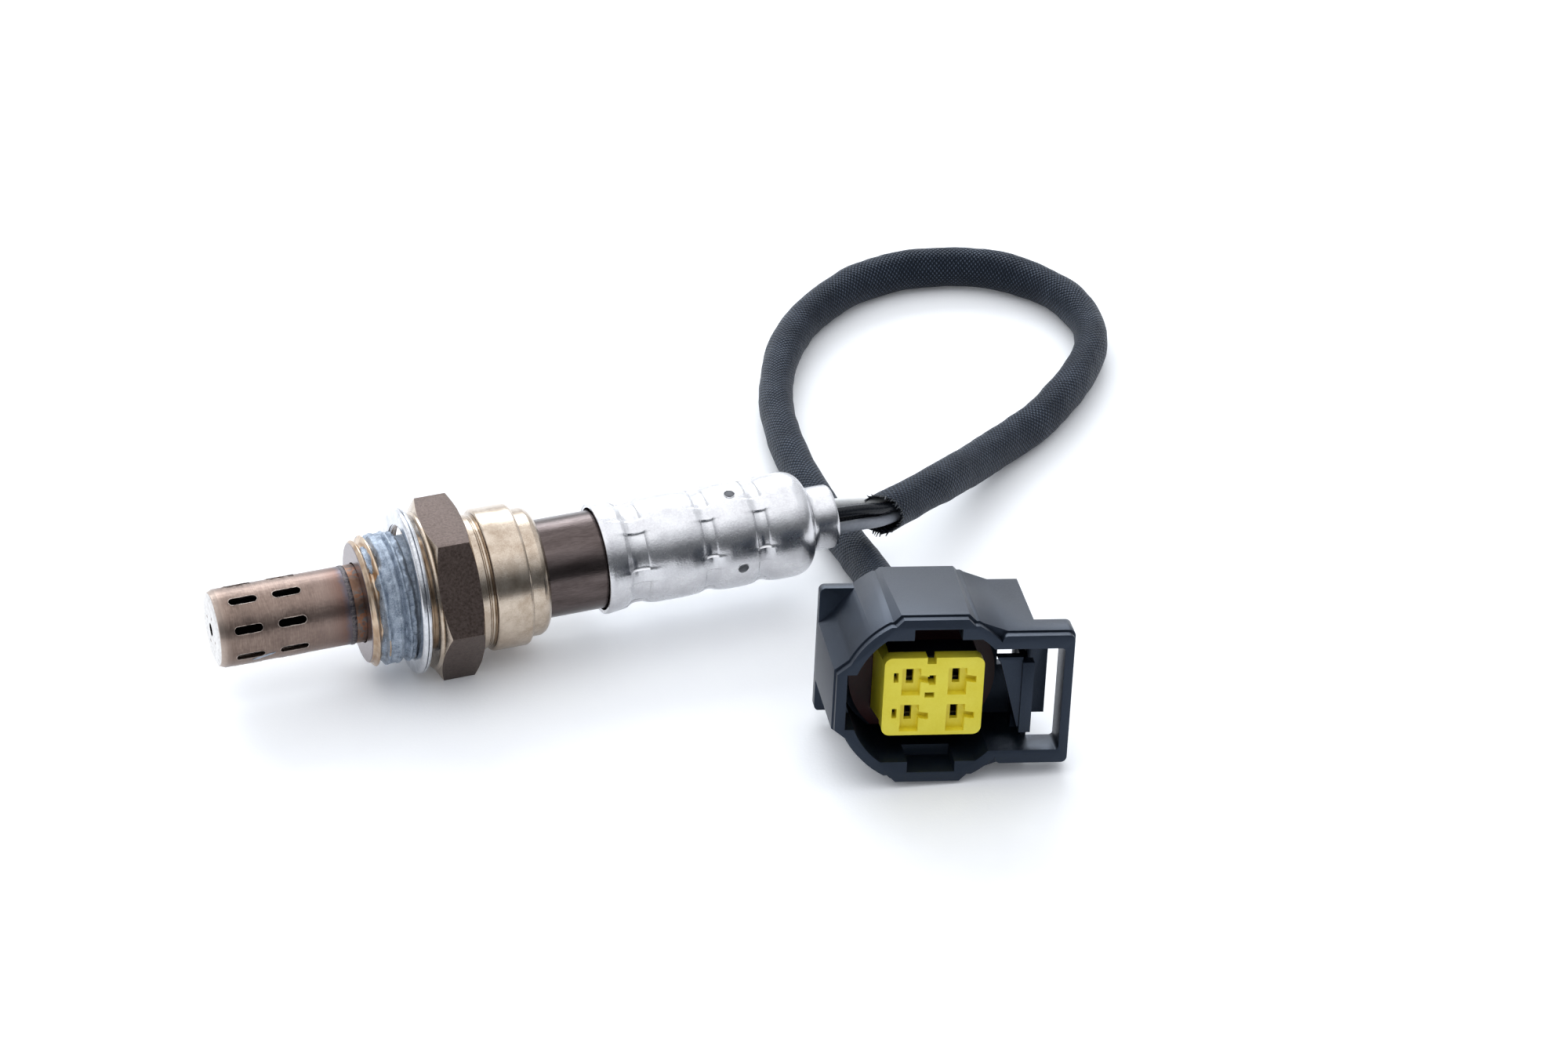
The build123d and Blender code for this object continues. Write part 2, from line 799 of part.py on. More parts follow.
with BuildPart() as connector_housing:
    # round shroud with its keyways and the latch block beside it
    with BuildSketch(plug_plane(rim_len)):
        plug_outline()
        with Locations(((latch_in + body_right) / 2, 0)):
            Rectangle(body_right - latch_in, 2 * latch_h)
        for side in (1, -1):
            Polygon(
                (latch_in - 2.8, side * 10.9),
                (latch_in + 0.8, side * latch_h),
                (latch_in + 0.8, side * 7.0),
                (latch_in - 2.8, side * 7.0),
                align=(Align.NONE, Align.NONE),
            )
    extrude(amount=-(plug_len - rim_len))
    with BuildSketch(plug_plane(0)):
        plug_outline(-rim)
        with Locations(((latch_in + latch_out - rim) / 2, 0)):
            RectangleRounded(latch_out - rim - latch_in, 2 * (latch_h - rim), 0.8)
    extrude(amount=-rim_len)
    # latch guard, a hoop near the front only
    with BuildSketch(plug_plane(rim_len)):
        with Locations(((latch_in + latch_out) / 2, 0)):
            RectangleRounded(latch_out - latch_in, 2 * latch_h, 0.9)
    extrude(amount=-(guard_len - rim_len))
    # rear flange
    with BuildSketch(plug_plane(plug_len - flange_t)):
        with Locations(((body_right - key_left) / 2, 0.2)):
            RectangleRounded(body_right + key_left, 2 * latch_h - 1.0, 0.8)
    extrude(amount=-flange_t)
    # the underside is drafted, so that the plug stands level on its front keyway and rear flange
    with BuildSketch(Plane(origin=plug_at(0, 0, 0), x_dir=d_dir, z_dir=w_dir)):
        with BuildLine():
            Polyline(
                (-2, -key_top - 6),
                (-2, -key_top),
                (0, -key_top),
                (plug_len + 1, -key_top + (plug_len + 1) * math.tan(math.radians(bottom_draft))),
                (plug_len + 1, -key_top - 6),
                close=True,
            )
        make_face()
    extrude(amount=30, both=True, mode=Mode.SUBTRACT)
    # the top rib falls a little to the rear
    with BuildSketch(Plane(origin=plug_at(0, 0, 0), x_dir=d_dir, z_dir=w_dir)):
        with BuildLine():
            Polyline(
                (rim_len + 0.5, key_top + 1),
                (rim_len + 0.5, key_top),
                (plug_len + 1, key_top - rib_drop),
                (plug_len + 1, key_top + 1),
                close=True,
            )
        make_face()
    extrude(amount=30, both=True, mode=Mode.SUBTRACT)
    # socket cavity
    with BuildSketch(plug_plane(0)):
        with BuildSketch(mode=Mode.PRIVATE) as hollow:
            Circle(r_in)
            Rectangle(60, 2 * half_in, mode=Mode.INTERSECT)
        add(hollow.sketch)
    extrude(amount=-cavity_len, mode=Mode.SUBTRACT)
    with BuildSketch(plug_plane(0)):
        with Locations((0.4, 0)):
            Rectangle(2 * key_in, 2 * (key_top - plug_wall))
        with Locations((-(key_left - plug_wall) / 2, 0)):
            Rectangle(key_left - plug_wall, 2 * (key_w - 0.3))
    extrude(amount=-key_len, mode=Mode.SUBTRACT)
    # latch room beside the socket, open to it, open to the back above the middle, and the guard's opening
    with BuildSketch(plug_plane(0)):
        with Locations(((latch_in - 1 + body_right - side_wall) / 2, 0)):
            Rectangle(body_right - side_wall - latch_in + 1, 2 * room_h)
    extrude(amount=-cavity_len, mode=Mode.SUBTRACT)
    with BuildSketch(plug_plane(cavity_len)):
        with Locations(((latch_in + 1.7 + body_right - side_wall) / 2, 3.0)):
            Rectangle(body_right - side_wall - latch_in - 1.7, 6.6)
    extrude(amount=-plug_len, mode=Mode.SUBTRACT)
    with BuildSketch(plug_plane(cavity_len + 1.5)):
        with Locations(((latch_in + 1.7 + body_right) / 2 + 0.5, 0.0)):
            Rectangle(body_right - latch_in - 0.7, 4.8)
    extrude(amount=-plug_len, mode=Mode.SUBTRACT)
    with BuildSketch(plug_plane(0)):
        with Locations(((latch_in + latch_out - 1.5) / 2, 0)):
            RectangleRounded(latch_out - 1.5 - latch_in, 2 * room_h, 0.5)
    extrude(amount=-guard_len, mode=Mode.SUBTRACT)
    # strip behind the guard's opening
    with BuildSketch(plug_plane(guard_len - 1.2)):
        with Locations(((arm_w + arm_t + latch_out - 3.15) / 2, (room_h + 0.5 - 3.5) / 2)):
            Rectangle(latch_out - 3.15 - arm_w - arm_t, room_h + 0.5 + 3.5)
    extrude(amount=-1.2)
    # latch arm on its two hinge bars, with its catch and the web that carries it
    with BuildSketch(plug_plane(1.0)):
        with Locations((arm_w + arm_t / 2, (arm_top - arm_h) / 2)):
            Rectangle(arm_t, arm_top + arm_h)
    extrude(amount=-arm_len)
    with BuildSketch(plug_plane(1.0)):
        with Locations((arm_w + arm_t / 2 + 0.3, (arm_top - arm_h) / 2)):
            Rectangle(arm_t + 0.6, arm_top + arm_h)
    extrude(amount=-1.6)
    with BuildSketch(plug_plane(1.0 + arm_len - 2.0)):
        with Locations((arm_w + arm_t / 2, 0)):
            Rectangle(arm_t, 2 * room_h + 0.6)
    extrude(amount=-2.0)
    with BuildSketch(plug_plane(1.6)):
        with BuildLine():
            Polyline(
                (arm_w + 0.1, arm_top + 0.55),
                (arm_w - 3.4, arm_top + 0.55),
                (arm_w - 3.2, arm_top + 0.1),
                (arm_w - 2.9, arm_top - 0.1),
                (arm_w - 0.2, -arm_h + 0.6),
                (arm_w + 0.1, -arm_h + 0.6),
                close=True,
            )
        make_face()
    extrude(amount=-1.3)
    # terminal tower
    with BuildSketch(plug_plane(lock_d + lock_t)):
        with Locations((tower_mid, 0)):
            RectangleRounded(tower_left + tower_right, 2 * tower_h, 0.9)
    extrude(amount=-(plug_len - 4.5))
    # room for the terminals and their wires
    with BuildSketch(plug_plane(lock_d + lock_t)):
        for pw, pu in pin_at.values():
            with Locations((pw, pu)):
                Rectangle(2.3, 2.5)
    extrude(amount=-(plug_len - 6.5), mode=Mode.SUBTRACT)
    with BuildSketch(plug_plane(plug_len - 4.5)):
        for pw, pu in pin_at.values():
            with Locations((pw, pu)):
                Circle(1.9)
    extrude(amount=-6, mode=Mode.SUBTRACT)
connector_housing.part.label = "connector_housing"

lock_w = 6.7
lock_h = 5.65
skirt_len = 6.8  # the lock's left side goes back along the tower and flares a little
with BuildPart() as terminal_lock:
    with BuildSketch(plug_plane(lock_d)):
        with Locations((tower_off, 0)):
            RectangleRounded(2 * lock_w, 2 * lock_h, 1.1)
    extrude(amount=-lock_t)
    skirt_mid = tower_off - tower_left - (lock_w - tower_left) / 2
    with BuildSketch(plug_plane(lock_d + lock_t - 0.1)) as skirt_front:
        with Locations((skirt_mid + 0.04, 0)):
            Rectangle(lock_w - tower_left - 0.08, 2 * lock_h - 2.4)
    with BuildSketch(plug_plane(lock_d + skirt_len)) as skirt_back:
        with Locations((skirt_mid - 0.22, 0)):
            Rectangle(lock_w - tower_left + 0.44, 2 * lock_h - 1.8)
    loft([skirt_front.sketch, skirt_back.sketch])
    # terminal openings with their lead-ins, and the release slot beside each
    with BuildSketch(plug_plane(lock_d)):
        for pw, pu in pin_at.values():
            with Locations((pw, pu)):
                Rectangle(1.0, 2.3)
        with Locations((tower_off - 0.5, 0.2)):
            Rectangle(1.3, 0.8)
        with Locations((tower_off - 0.2, 2.4)):
            Rectangle(0.9, 1.4)
        for low in (2.8, -2.45):
            with Locations((tower_off - pin_w - 2.0, low)):
                Rectangle(0.65, 1.4)
        with Locations((tower_off - 0.4, lock_h - 0.3)):
            Rectangle(1.2, 1.2)
    extrude(amount=-lock_t, mode=Mode.SUBTRACT)
    for pw, pu in pin_at.values():
        with BuildSketch(plug_plane(lock_d)) as mouth:
            with Locations((pw + 0.05, pu - 0.5)):
                Rectangle(2.5, 3.9)
        with BuildSketch(plug_plane(lock_d + 0.7)) as throat:
            with Locations((pw, pu)):
                Rectangle(1.0, 2.3)
        loft([mouth.sketch, throat.sketch], mode=Mode.SUBTRACT)
        with BuildSketch(plug_plane(lock_d)):
            with BuildLine():
                Polyline(
                    (pw, pu + 0.7),
                    (pw + 2.6, pu + 0.2),
                    (pw + 2.6, pu - 0.7),
                    (pw + 2.2, pu - 0.7),
                    (pw, pu - 0.2),
                    close=True,
                )
            make_face()
        extrude(amount=-1.1, mode=Mode.SUBTRACT)
terminal_lock.part.label = "terminal_lock"

with BuildPart() as interface_seal:
    with BuildSketch(plug_plane(cavity_len - 3.0)):
        with BuildSketch(mode=Mode.PRIVATE) as band:
            Circle(9.9)
            Rectangle(60, 14.8, mode=Mode.INTERSECT)
        add(band.sketch)
        with Locations((tower_mid, 0)):
            RectangleRounded(tower_left + tower_right, 2 * tower_h, 0.9, mode=Mode.SUBTRACT)
    extrude(amount=-3.0)
interface_seal.part.label = "interface_seal"

with BuildPart() as socket_terminals:
    for pw, pu in pin_at.values():
        with BuildSketch(plug_plane(4.2)):
            with Locations((pw, pu)):
                Rectangle(2.1, 2.3)
                Rectangle(1.5, 1.7, mode=Mode.SUBTRACT)
        extrude(amount=-(plug_len - 6.0 - 4.2 - 0.8))
        with BuildSketch(plug_plane(plug_len - 7.2)):
            with Locations((pw, pu)):
                Rectangle(2.1, 2.3)
        extrude(amount=-1.2)
socket_terminals.part.label = "socket_terminals"

with BuildPart() as wire_seals:
    for pw, pu in pin_at.values():
        with BuildSketch(plug_plane(plug_len - 4.5)):
            with Locations((pw, pu)):
                Circle(1.9)
                Circle(r_wire, mode=Mode.SUBTRACT)
        extrude(amount=-4.0)
wire_seals.part.label = "wire_seals"

with BuildPart() as rear_cover:
    with BuildSketch(plug_plane(plug_len)):
        with Locations((tower_off, 0)):
            RectangleRounded(15.0, 13.6, 1.5)
        for pw, pu in pin_at.values():
            with Locations((pw, pu)):
                Circle(r_wire + 0.25, mode=Mode.SUBTRACT)
    extrude(amount=-1.6)
rear_cover.part.label = "rear_cover"

nodes = [
    outer_shroud,
    shroud_base,
    inner_shroud,
    shell,
    gasket,
    sensing_element,
    seat_washer,
    powder_packing,
    packing_bush,
    crimp_ring,
    heater_rod,
    outer_contact,
    inner_contact,
    heater_contact_a,
    heater_contact_b,
    inner_cover,
    rear_insulator,
    insulator_spring,
    filter_sleeve,
    vent_filter,
    outer_cover,
    grommet,
    wires["white_wire"],
    wires["black_wire_a"],
    wires["black_wire_b"],
    wires["grey_wire"],
    braided_sleeve,
    connector_housing,
    terminal_lock,
    interface_seal,
    socket_terminals,
    wire_seals,
    rear_cover,
]
for node in nodes:
    export_step(node.part, "parts/" + node.part.label + ".step")
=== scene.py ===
"""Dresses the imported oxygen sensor: pasted M18 nose, hexagon, crimped covers, braided lead and four-way socket.

Numbers of the object are millimetres from part.py: a station s runs along the sensor's axis from the front face of
the hexagon, and an angle phi turns from level on the -Y side toward up. Meshes are made in metres in the row frame.
"""

import logging
import math
from dataclasses import dataclass, field
from enum import Enum
from typing import Callable, Iterable, Optional, Sequence, Union

import bmesh
import bpy
import numpy as np
from mathutils import Matrix, Vector, noise


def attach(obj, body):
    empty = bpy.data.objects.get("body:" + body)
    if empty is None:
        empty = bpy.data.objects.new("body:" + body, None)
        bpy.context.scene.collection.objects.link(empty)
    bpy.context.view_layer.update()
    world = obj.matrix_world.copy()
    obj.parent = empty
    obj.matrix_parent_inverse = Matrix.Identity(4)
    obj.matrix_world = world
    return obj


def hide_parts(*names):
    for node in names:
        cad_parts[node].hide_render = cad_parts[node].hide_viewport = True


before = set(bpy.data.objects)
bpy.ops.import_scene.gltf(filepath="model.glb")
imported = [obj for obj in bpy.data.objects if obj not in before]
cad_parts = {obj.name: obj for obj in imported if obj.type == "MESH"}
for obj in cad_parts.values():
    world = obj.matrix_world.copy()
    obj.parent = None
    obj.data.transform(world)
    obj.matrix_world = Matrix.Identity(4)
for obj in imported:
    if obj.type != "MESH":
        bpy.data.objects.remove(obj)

logging.basicConfig(level=logging.INFO, format="%(name)s: %(message)s")
LOG = logging.getLogger("sensor")

MM = 0.001
X_HEX = -14.6  # row X of the hexagon's front face
AXIS_Z = 11.0  # height of the sensor's axis
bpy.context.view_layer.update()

Mesh, Object, Material, Tree = bpy.types.Mesh, bpy.types.Object, bpy.types.Material, bpy.types.NodeTree
Profile = Sequence[tuple[float, ...]]
Grid = np.ndarray
Colour = tuple[float, float, float, float]
Key = Union[int, str]
Link = bpy.types.NodeSocket
Shape = Callable[[Grid, Grid, Grid], Grid]


# ------------------------------------------------------------------ small helpers
def srgb(code: str) -> Colour:
    """Turns a colour as the eye reads it into the linear values that a shader takes.

    Args:
        code: sRGB colour as "#RRGGBB".

    Returns:
        Linear red, green, blue and an alpha of 1.
    """
    parts = [int(code[i : i + 2], 16) / 255 for i in (1, 3, 5)]
    lin = [c / 12.92 if c <= 0.04045 else ((c + 0.055) / 1.055) ** 2.4 for c in parts]
    return (lin[0], lin[1], lin[2], 1.0)


def place(s: float, r: float, phi: float) -> Vector:
    """The point at station s, radius r and angle phi in degrees, in metres."""
    a = math.radians(phi)
    return Vector((X_HEX + s, -r * math.cos(a), AXIS_Z + r * math.sin(a))) * MM


def rounded(points: Profile, radius: float, parts: int = 3) -> list[tuple[float, float]]:
    """Rounds the corners of a closed outline.

    Args:
        points: corners of the outline, (station, radius) in mm.
        radius: size of the rounding; it shrinks where an edge is short.
        parts: straight pieces in each rounding.

    Returns:
        The outline with an arc in place of each corner.
    """
    out: list[tuple[float, float]] = []
    for i, corner in enumerate(points):
        p, a, b = Vector(corner), Vector(points[i - 1]), Vector(points[(i + 1) % len(points)])
        u, v = a - p, b - p
        cut = min(radius, 0.4 * u.length, 0.4 * v.length)
        if cut < 1e-4 or abs(u.angle(v) - math.pi) < 0.05:
            out.append((p.x, p.y))
            continue
        start, end = p + u.normalized() * cut, p + v.normalized() * cut
        for k in range(parts + 1):
            t = k / parts
            q = start * (1 - t) ** 2 + p * 2 * t * (1 - t) + end * t**2
            out.append((q.x, q.y))
    return out


def divided(points: Profile, step: float, first: Optional[int] = None) -> list[tuple[float, float]]:
    """Divides the edges of a closed outline.

    Args:
        points: corners of the outline, (station, radius) in mm.
        step: greatest length of a piece in mm.
        first: how many edges are divided, counted from the start; all of them where it isn't given.

    Returns:
        The outline with the added points.
    """
    out: list[tuple[float, float]] = []
    for i, (s, r) in enumerate(points):
        s2, r2 = points[(i + 1) % len(points)]
        n = max(1, math.ceil(math.hypot(s2 - s, r2 - r) / (step if first is None or i < first else 2.0)))
        out += [(s + (s2 - s) * k / n, r + (r2 - r) * k / n) for k in range(n)]
    return out


def fractal(points: Grid, size: float, octaves: int = 3, seed: float = 0.0) -> Grid:
    """Smooth random values of about -1 to 1 at points given in mm, with features of that size in mm."""
    return np.array(
        [noise.fractal(Vector(p) / size + Vector((seed, 0, 0)), 1.0, 2.0, octaves) for p in points.reshape(-1, 3)]
    ).reshape(points.shape[:-1])


def smooth(low: float, high: float, x: Grid) -> Grid:
    """Rises smoothly from 0 at low to 1 at high."""
    t = np.clip((x - low) / (high - low), 0, 1)
    return t * t * (3 - 2 * t)


def outward(mesh: Mesh) -> Mesh:
    """Turns the faces of a closed mesh outward and hands it back."""
    bm = bmesh.new()
    bm.from_mesh(mesh)
    bmesh.ops.recalc_face_normals(bm, faces=bm.faces)
    if bm.calc_volume(signed=True) < 0:
        bmesh.ops.reverse_faces(bm, faces=bm.faces)
    bm.to_mesh(mesh)
    bm.free()
    return mesh


def linked(name: str, data: bpy.types.ID) -> Object:
    """A new object of that data, in the scene."""
    obj = bpy.data.objects.new(name, data)
    bpy.context.scene.collection.objects.link(obj)
    return obj


def finished(name: str, mesh: Mesh, look: "Look", sharp: float = 40, stands_for: str = "") -> Object:
    """Makes a closed mesh a piece of the object, smooth shaded, with its finish, on the object's one body.

    Args:
        name: name of the piece.
        mesh: its mesh, in metres in the row frame.
        look: its finish.
        sharp: edges that turn by more than this angle in degrees stay crisp.
        stands_for: CAD node that it replaces, if any.

    Returns:
        The new object.
    """
    outward(mesh)
    mesh.shade_smooth()
    mesh.set_sharp_from_angle(angle=math.radians(sharp))
    mesh.materials.clear()
    mesh.materials.append(material(look))
    obj = linked(name, mesh)
    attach(obj, "root")
    if stands_for:
        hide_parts(stands_for)
    LOG.info("%s: %d faces", name, len(mesh.polygons))
    return obj


def settled(obj: Object) -> Mesh:
    """Applies an object's modifiers, removes the object and returns the finished mesh."""
    bpy.context.view_layer.update()
    mesh = bpy.data.meshes.new_from_object(obj.evaluated_get(bpy.context.evaluated_depsgraph_get()))
    obj.modifiers.clear()
    bpy.data.objects.remove(obj)
    return mesh


def cut(mesh: Mesh, tool: Mesh, operation: str) -> Mesh:
    """A closed mesh less another, or the part that both share.

    Args:
        mesh: the mesh to cut.
        tool: the closed mesh that cuts it.
        operation: DIFFERENCE or INTERSECT.

    Returns:
        The cut mesh.
    """
    work, cutter = linked("work", outward(mesh)), linked("cutter", outward(tool))
    step = work.modifiers.new("cut", "BOOLEAN")
    step.operation, step.object, step.solver = operation, cutter, "EXACT"
    done = settled(work)
    bpy.data.objects.remove(cutter)
    return done


def softened(mesh: Mesh, width_mm: float, angle: float) -> Mesh:
    """A mesh with the edges that turn by more than an angle in degrees rounded by that width."""
    work = linked("work", mesh)
    step = work.modifiers.new("soft", "BEVEL")
    step.width, step.segments, step.limit_method, step.angle_limit = width_mm * MM, 2, "ANGLE", math.radians(angle)
    return settled(work)


def lathe(
    profile: Profile,
    steps: int = 128,
    shape: Optional[Shape] = None,
    tilt: float = 0.0,
    lift: float = 0.0,
    masks: Optional[dict[str, Shape]] = None,
) -> Mesh:
    """Turns a closed outline about the sensor's axis, with real-size UVs.

    Args:
        profile: closed outline of (station, radius) in mm.
        steps: points around.
        shape: gives the radius from station, angle in degrees and the outline's radius.
        tilt: lean of the turned piece about the Y axis, in degrees.
        lift: height of its own axis over the sensor's, in mm.
        masks: point attributes, each from the same three grids.

    Returns:
        A closed mesh in metres. Its UV map holds metres around and along the outline.
    """
    s = np.array([p[0] for p in profile])[:, None] * np.ones((1, steps))
    r0 = np.array([p[1] for p in profile])[:, None] * np.ones((1, steps))
    phi = np.ones((len(profile), 1)) * (np.arange(steps) * 360.0 / steps)[None, :]
    r = r0 if shape is None else shape(s, phi, r0)
    a = np.radians(phi)
    x = s + math.tan(math.radians(tilt)) * r * np.sin(a)
    co = np.stack([X_HEX + x, -r * np.cos(a), AXIS_Z + lift + r * np.sin(a)], -1) * MM
    edges = np.diff(np.array(list(profile) + [profile[0]]), axis=0)
    length = np.concatenate([[0], np.cumsum(np.hypot(edges[:, 0], edges[:, 1]))])
    mesh = tube(co, length, 2 * math.pi * max(p[1] for p in profile) / steps)
    for key, mask in (masks or {}).items():
        values = mask(s, phi, r0).astype(np.float32)
        mesh.attributes.new(key, "FLOAT", "POINT").data.foreach_set("value", values.reshape(-1))
    return mesh


def tube(rings: Grid, length: Grid, width: float, capped: bool = False) -> Mesh:
    """Joins rings of points to a closed mesh.

    Args:
        rings: points in metres, as rings, points of a ring, and x, y, z.
        length: place of each ring along the surface in mm, and for a closed loop of the first once more at the end.
        width: distance between two neighbours of a ring in mm.
        capped: closes each end with a face; otherwise the last ring meets the first.

    Returns:
        The mesh, with UVs in metres around and along.
    """
    n, m = rings.shape[:2]
    i, j = np.meshgrid(np.arange(n - capped), np.arange(m), indexing="ij")
    i2, j2 = (i + 1) % n, (j + 1) % m
    faces = np.stack([i * m + j, i * m + j2, i2 * m + j2, i2 * m + j], -1).reshape(-1, 4).tolist()
    if capped:
        faces += [list(range(m)), list(range(n * m - 1, n * m - m - 1, -1))]
    mesh = bpy.data.meshes.new("tube")
    mesh.from_pydata(rings.reshape(-1, 3).tolist(), [], faces)
    along = [length[i], length[i], length[i + 1], length[i + 1]]
    uv = np.stack([np.stack([j, j + 1, j + 1, j], -1) * width, np.stack(along, -1)], -1).reshape(-1)
    uv = np.concatenate([uv, np.zeros(4 * m * capped)])
    mesh.uv_layers.new(name="UVMap").data.foreach_set("uv", (uv * MM).astype(np.float32))
    return mesh


# ------------------------------------------------------------------ node trees
def add(
    tree: Tree,
    kind: str,
    inputs: Union[dict[Key, object], Sequence[object]] = (),
    output: Key = 0,
    **settings: object,
) -> Optional[Link]:
    """Adds a node with its settings and its links.

    Args:
        tree: tree that takes the node.
        kind: type of the node, or in capitals the operation of a Math node.
        inputs: links or plain values by the name or place of the input, or in order; a colour may be "#RRGGBB".
        output: the output to hand back, by its name or its place.
        settings: the node's own settings; stops are a colour ramp's (position, colour or grey) pairs.

    Returns:
        That output of the node, or None where it has none.
    """
    node = tree.nodes.new("ShaderNodeMath" if kind.isupper() else kind)
    if kind.isupper():
        node.operation = kind
    for key, value in settings.items():
        if key != "stops":
            setattr(node, key, value)
            continue
        elements = node.color_ramp.elements
        while len(elements) < len(value):
            elements.new(1.0)
        for element, (position, colour) in zip(elements, value):
            element.position = position
            element.color = srgb(colour) if isinstance(colour, str) else (colour, colour, colour, 1)
    for key, value in inputs.items() if isinstance(inputs, dict) else enumerate(inputs):
        if isinstance(value, Link):
            tree.links.new(value, node.inputs[key])
        else:
            node.inputs[key].default_value = srgb(value) if str(value).startswith("#") else value
    return node.outputs[output] if node.outputs else None


def blank(name: str) -> tuple[Material, Tree]:
    """A new material and its empty node tree."""
    made = bpy.data.materials.new(name)
    made.use_nodes = True
    made.node_tree.nodes.clear()
    return made, made.node_tree


def in_mm(tree: Tree, source: str = "Object", stretch: Sequence[float] = (1, 1, 1)) -> Link:
    """Coordinates in mm from Object or UV, divided by stretch: a large number draws a pattern out along that axis."""
    scale = tuple(1 / MM / k for k in stretch)
    return add(tree, "ShaderNodeMapping", {"Vector": add(tree, "ShaderNodeTexCoord", output=source), "Scale": scale})


def surfaced(tree: Tree, reliefs: Iterable[tuple[Link, float]], inputs: dict[Key, object]) -> None:
    """Ends a material: one bump over the other, then the surface shader and the output.

    Args:
        tree: the material's tree.
        reliefs: pairs of a height link and its depth in mm.
        inputs: inputs of the surface shader, as links or values.
    """
    normal: Optional[Link] = None
    for height, depth in reliefs:
        under = {"Normal": normal} if normal is not None else {}
        normal = add(tree, "ShaderNodeBump", {"Height": height, "Distance": depth * MM, "Strength": 1.0, **under})
    shader = add(tree, "ShaderNodeBsdfPrincipled", {**inputs, **({"Normal": normal} if normal is not None else {})})
    add(tree, "ShaderNodeOutputMaterial", {"Surface": shader})


NOISE, RAMP, MIX = "ShaderNodeTexNoise", "ShaderNodeValToRGB", "ShaderNodeMix"
COMBINE, SEPARATE, VECTOR = "ShaderNodeCombineXYZ", "ShaderNodeSeparateXYZ", "ShaderNodeVectorMath"
INSTANCES, RANDOM = "GeometryNodeInstanceOnPoints", "FunctionNodeRandomValue"


@dataclass(frozen=True)
class Finish:
    """A finish of the object, under the name of its material."""

    name: str

    def build(self) -> Material:
        """Makes the material."""
        raise NotImplementedError


@dataclass(frozen=True)
class WorkedMetal(Finish):
    """Bare or plated metal: a tone that wanders with bath and heat, and the grain that drawing or turning left."""

    light: str
    dark: str
    roughness: float = 0.28
    mottle_mm: float = 1.6
    grain_mm: float = 0.12
    relief_mm: float = 0.02
    stretch: tuple[float, float, float] = (1, 1, 1)
    uneven: float = 0.2  # of the gloss

    def build(self) -> Material:
        """Two noises, one for the cloudy tone and one for the grain."""
        made, t = blank(self.name)
        where = in_mm(t, stretch=self.stretch)
        mottle = add(t, NOISE, {"Vector": where, "Scale": 1 / self.mottle_mm, "Detail": 4.0, "Roughness": 0.6})
        grain = add(t, NOISE, {"Vector": where, "Scale": 1 / self.grain_mm, "Detail": 2.0, "Roughness": 0.6})
        cloud = add(t, "MULTIPLY", (mottle, 0.65))
        tone = add(t, "MULTIPLY_ADD", (grain, 0.35, cloud))
        colour = add(t, RAMP, (tone,), stops=((0.36, self.dark), (0.6, self.light)))
        gloss = add(t, "MULTIPLY_ADD", (mottle, self.uneven, self.roughness - self.uneven / 2))
        surfaced(t, [(grain, self.relief_mm)], {"Base Color": colour, "Roughness": gloss, "Metallic": 1.0})
        return made


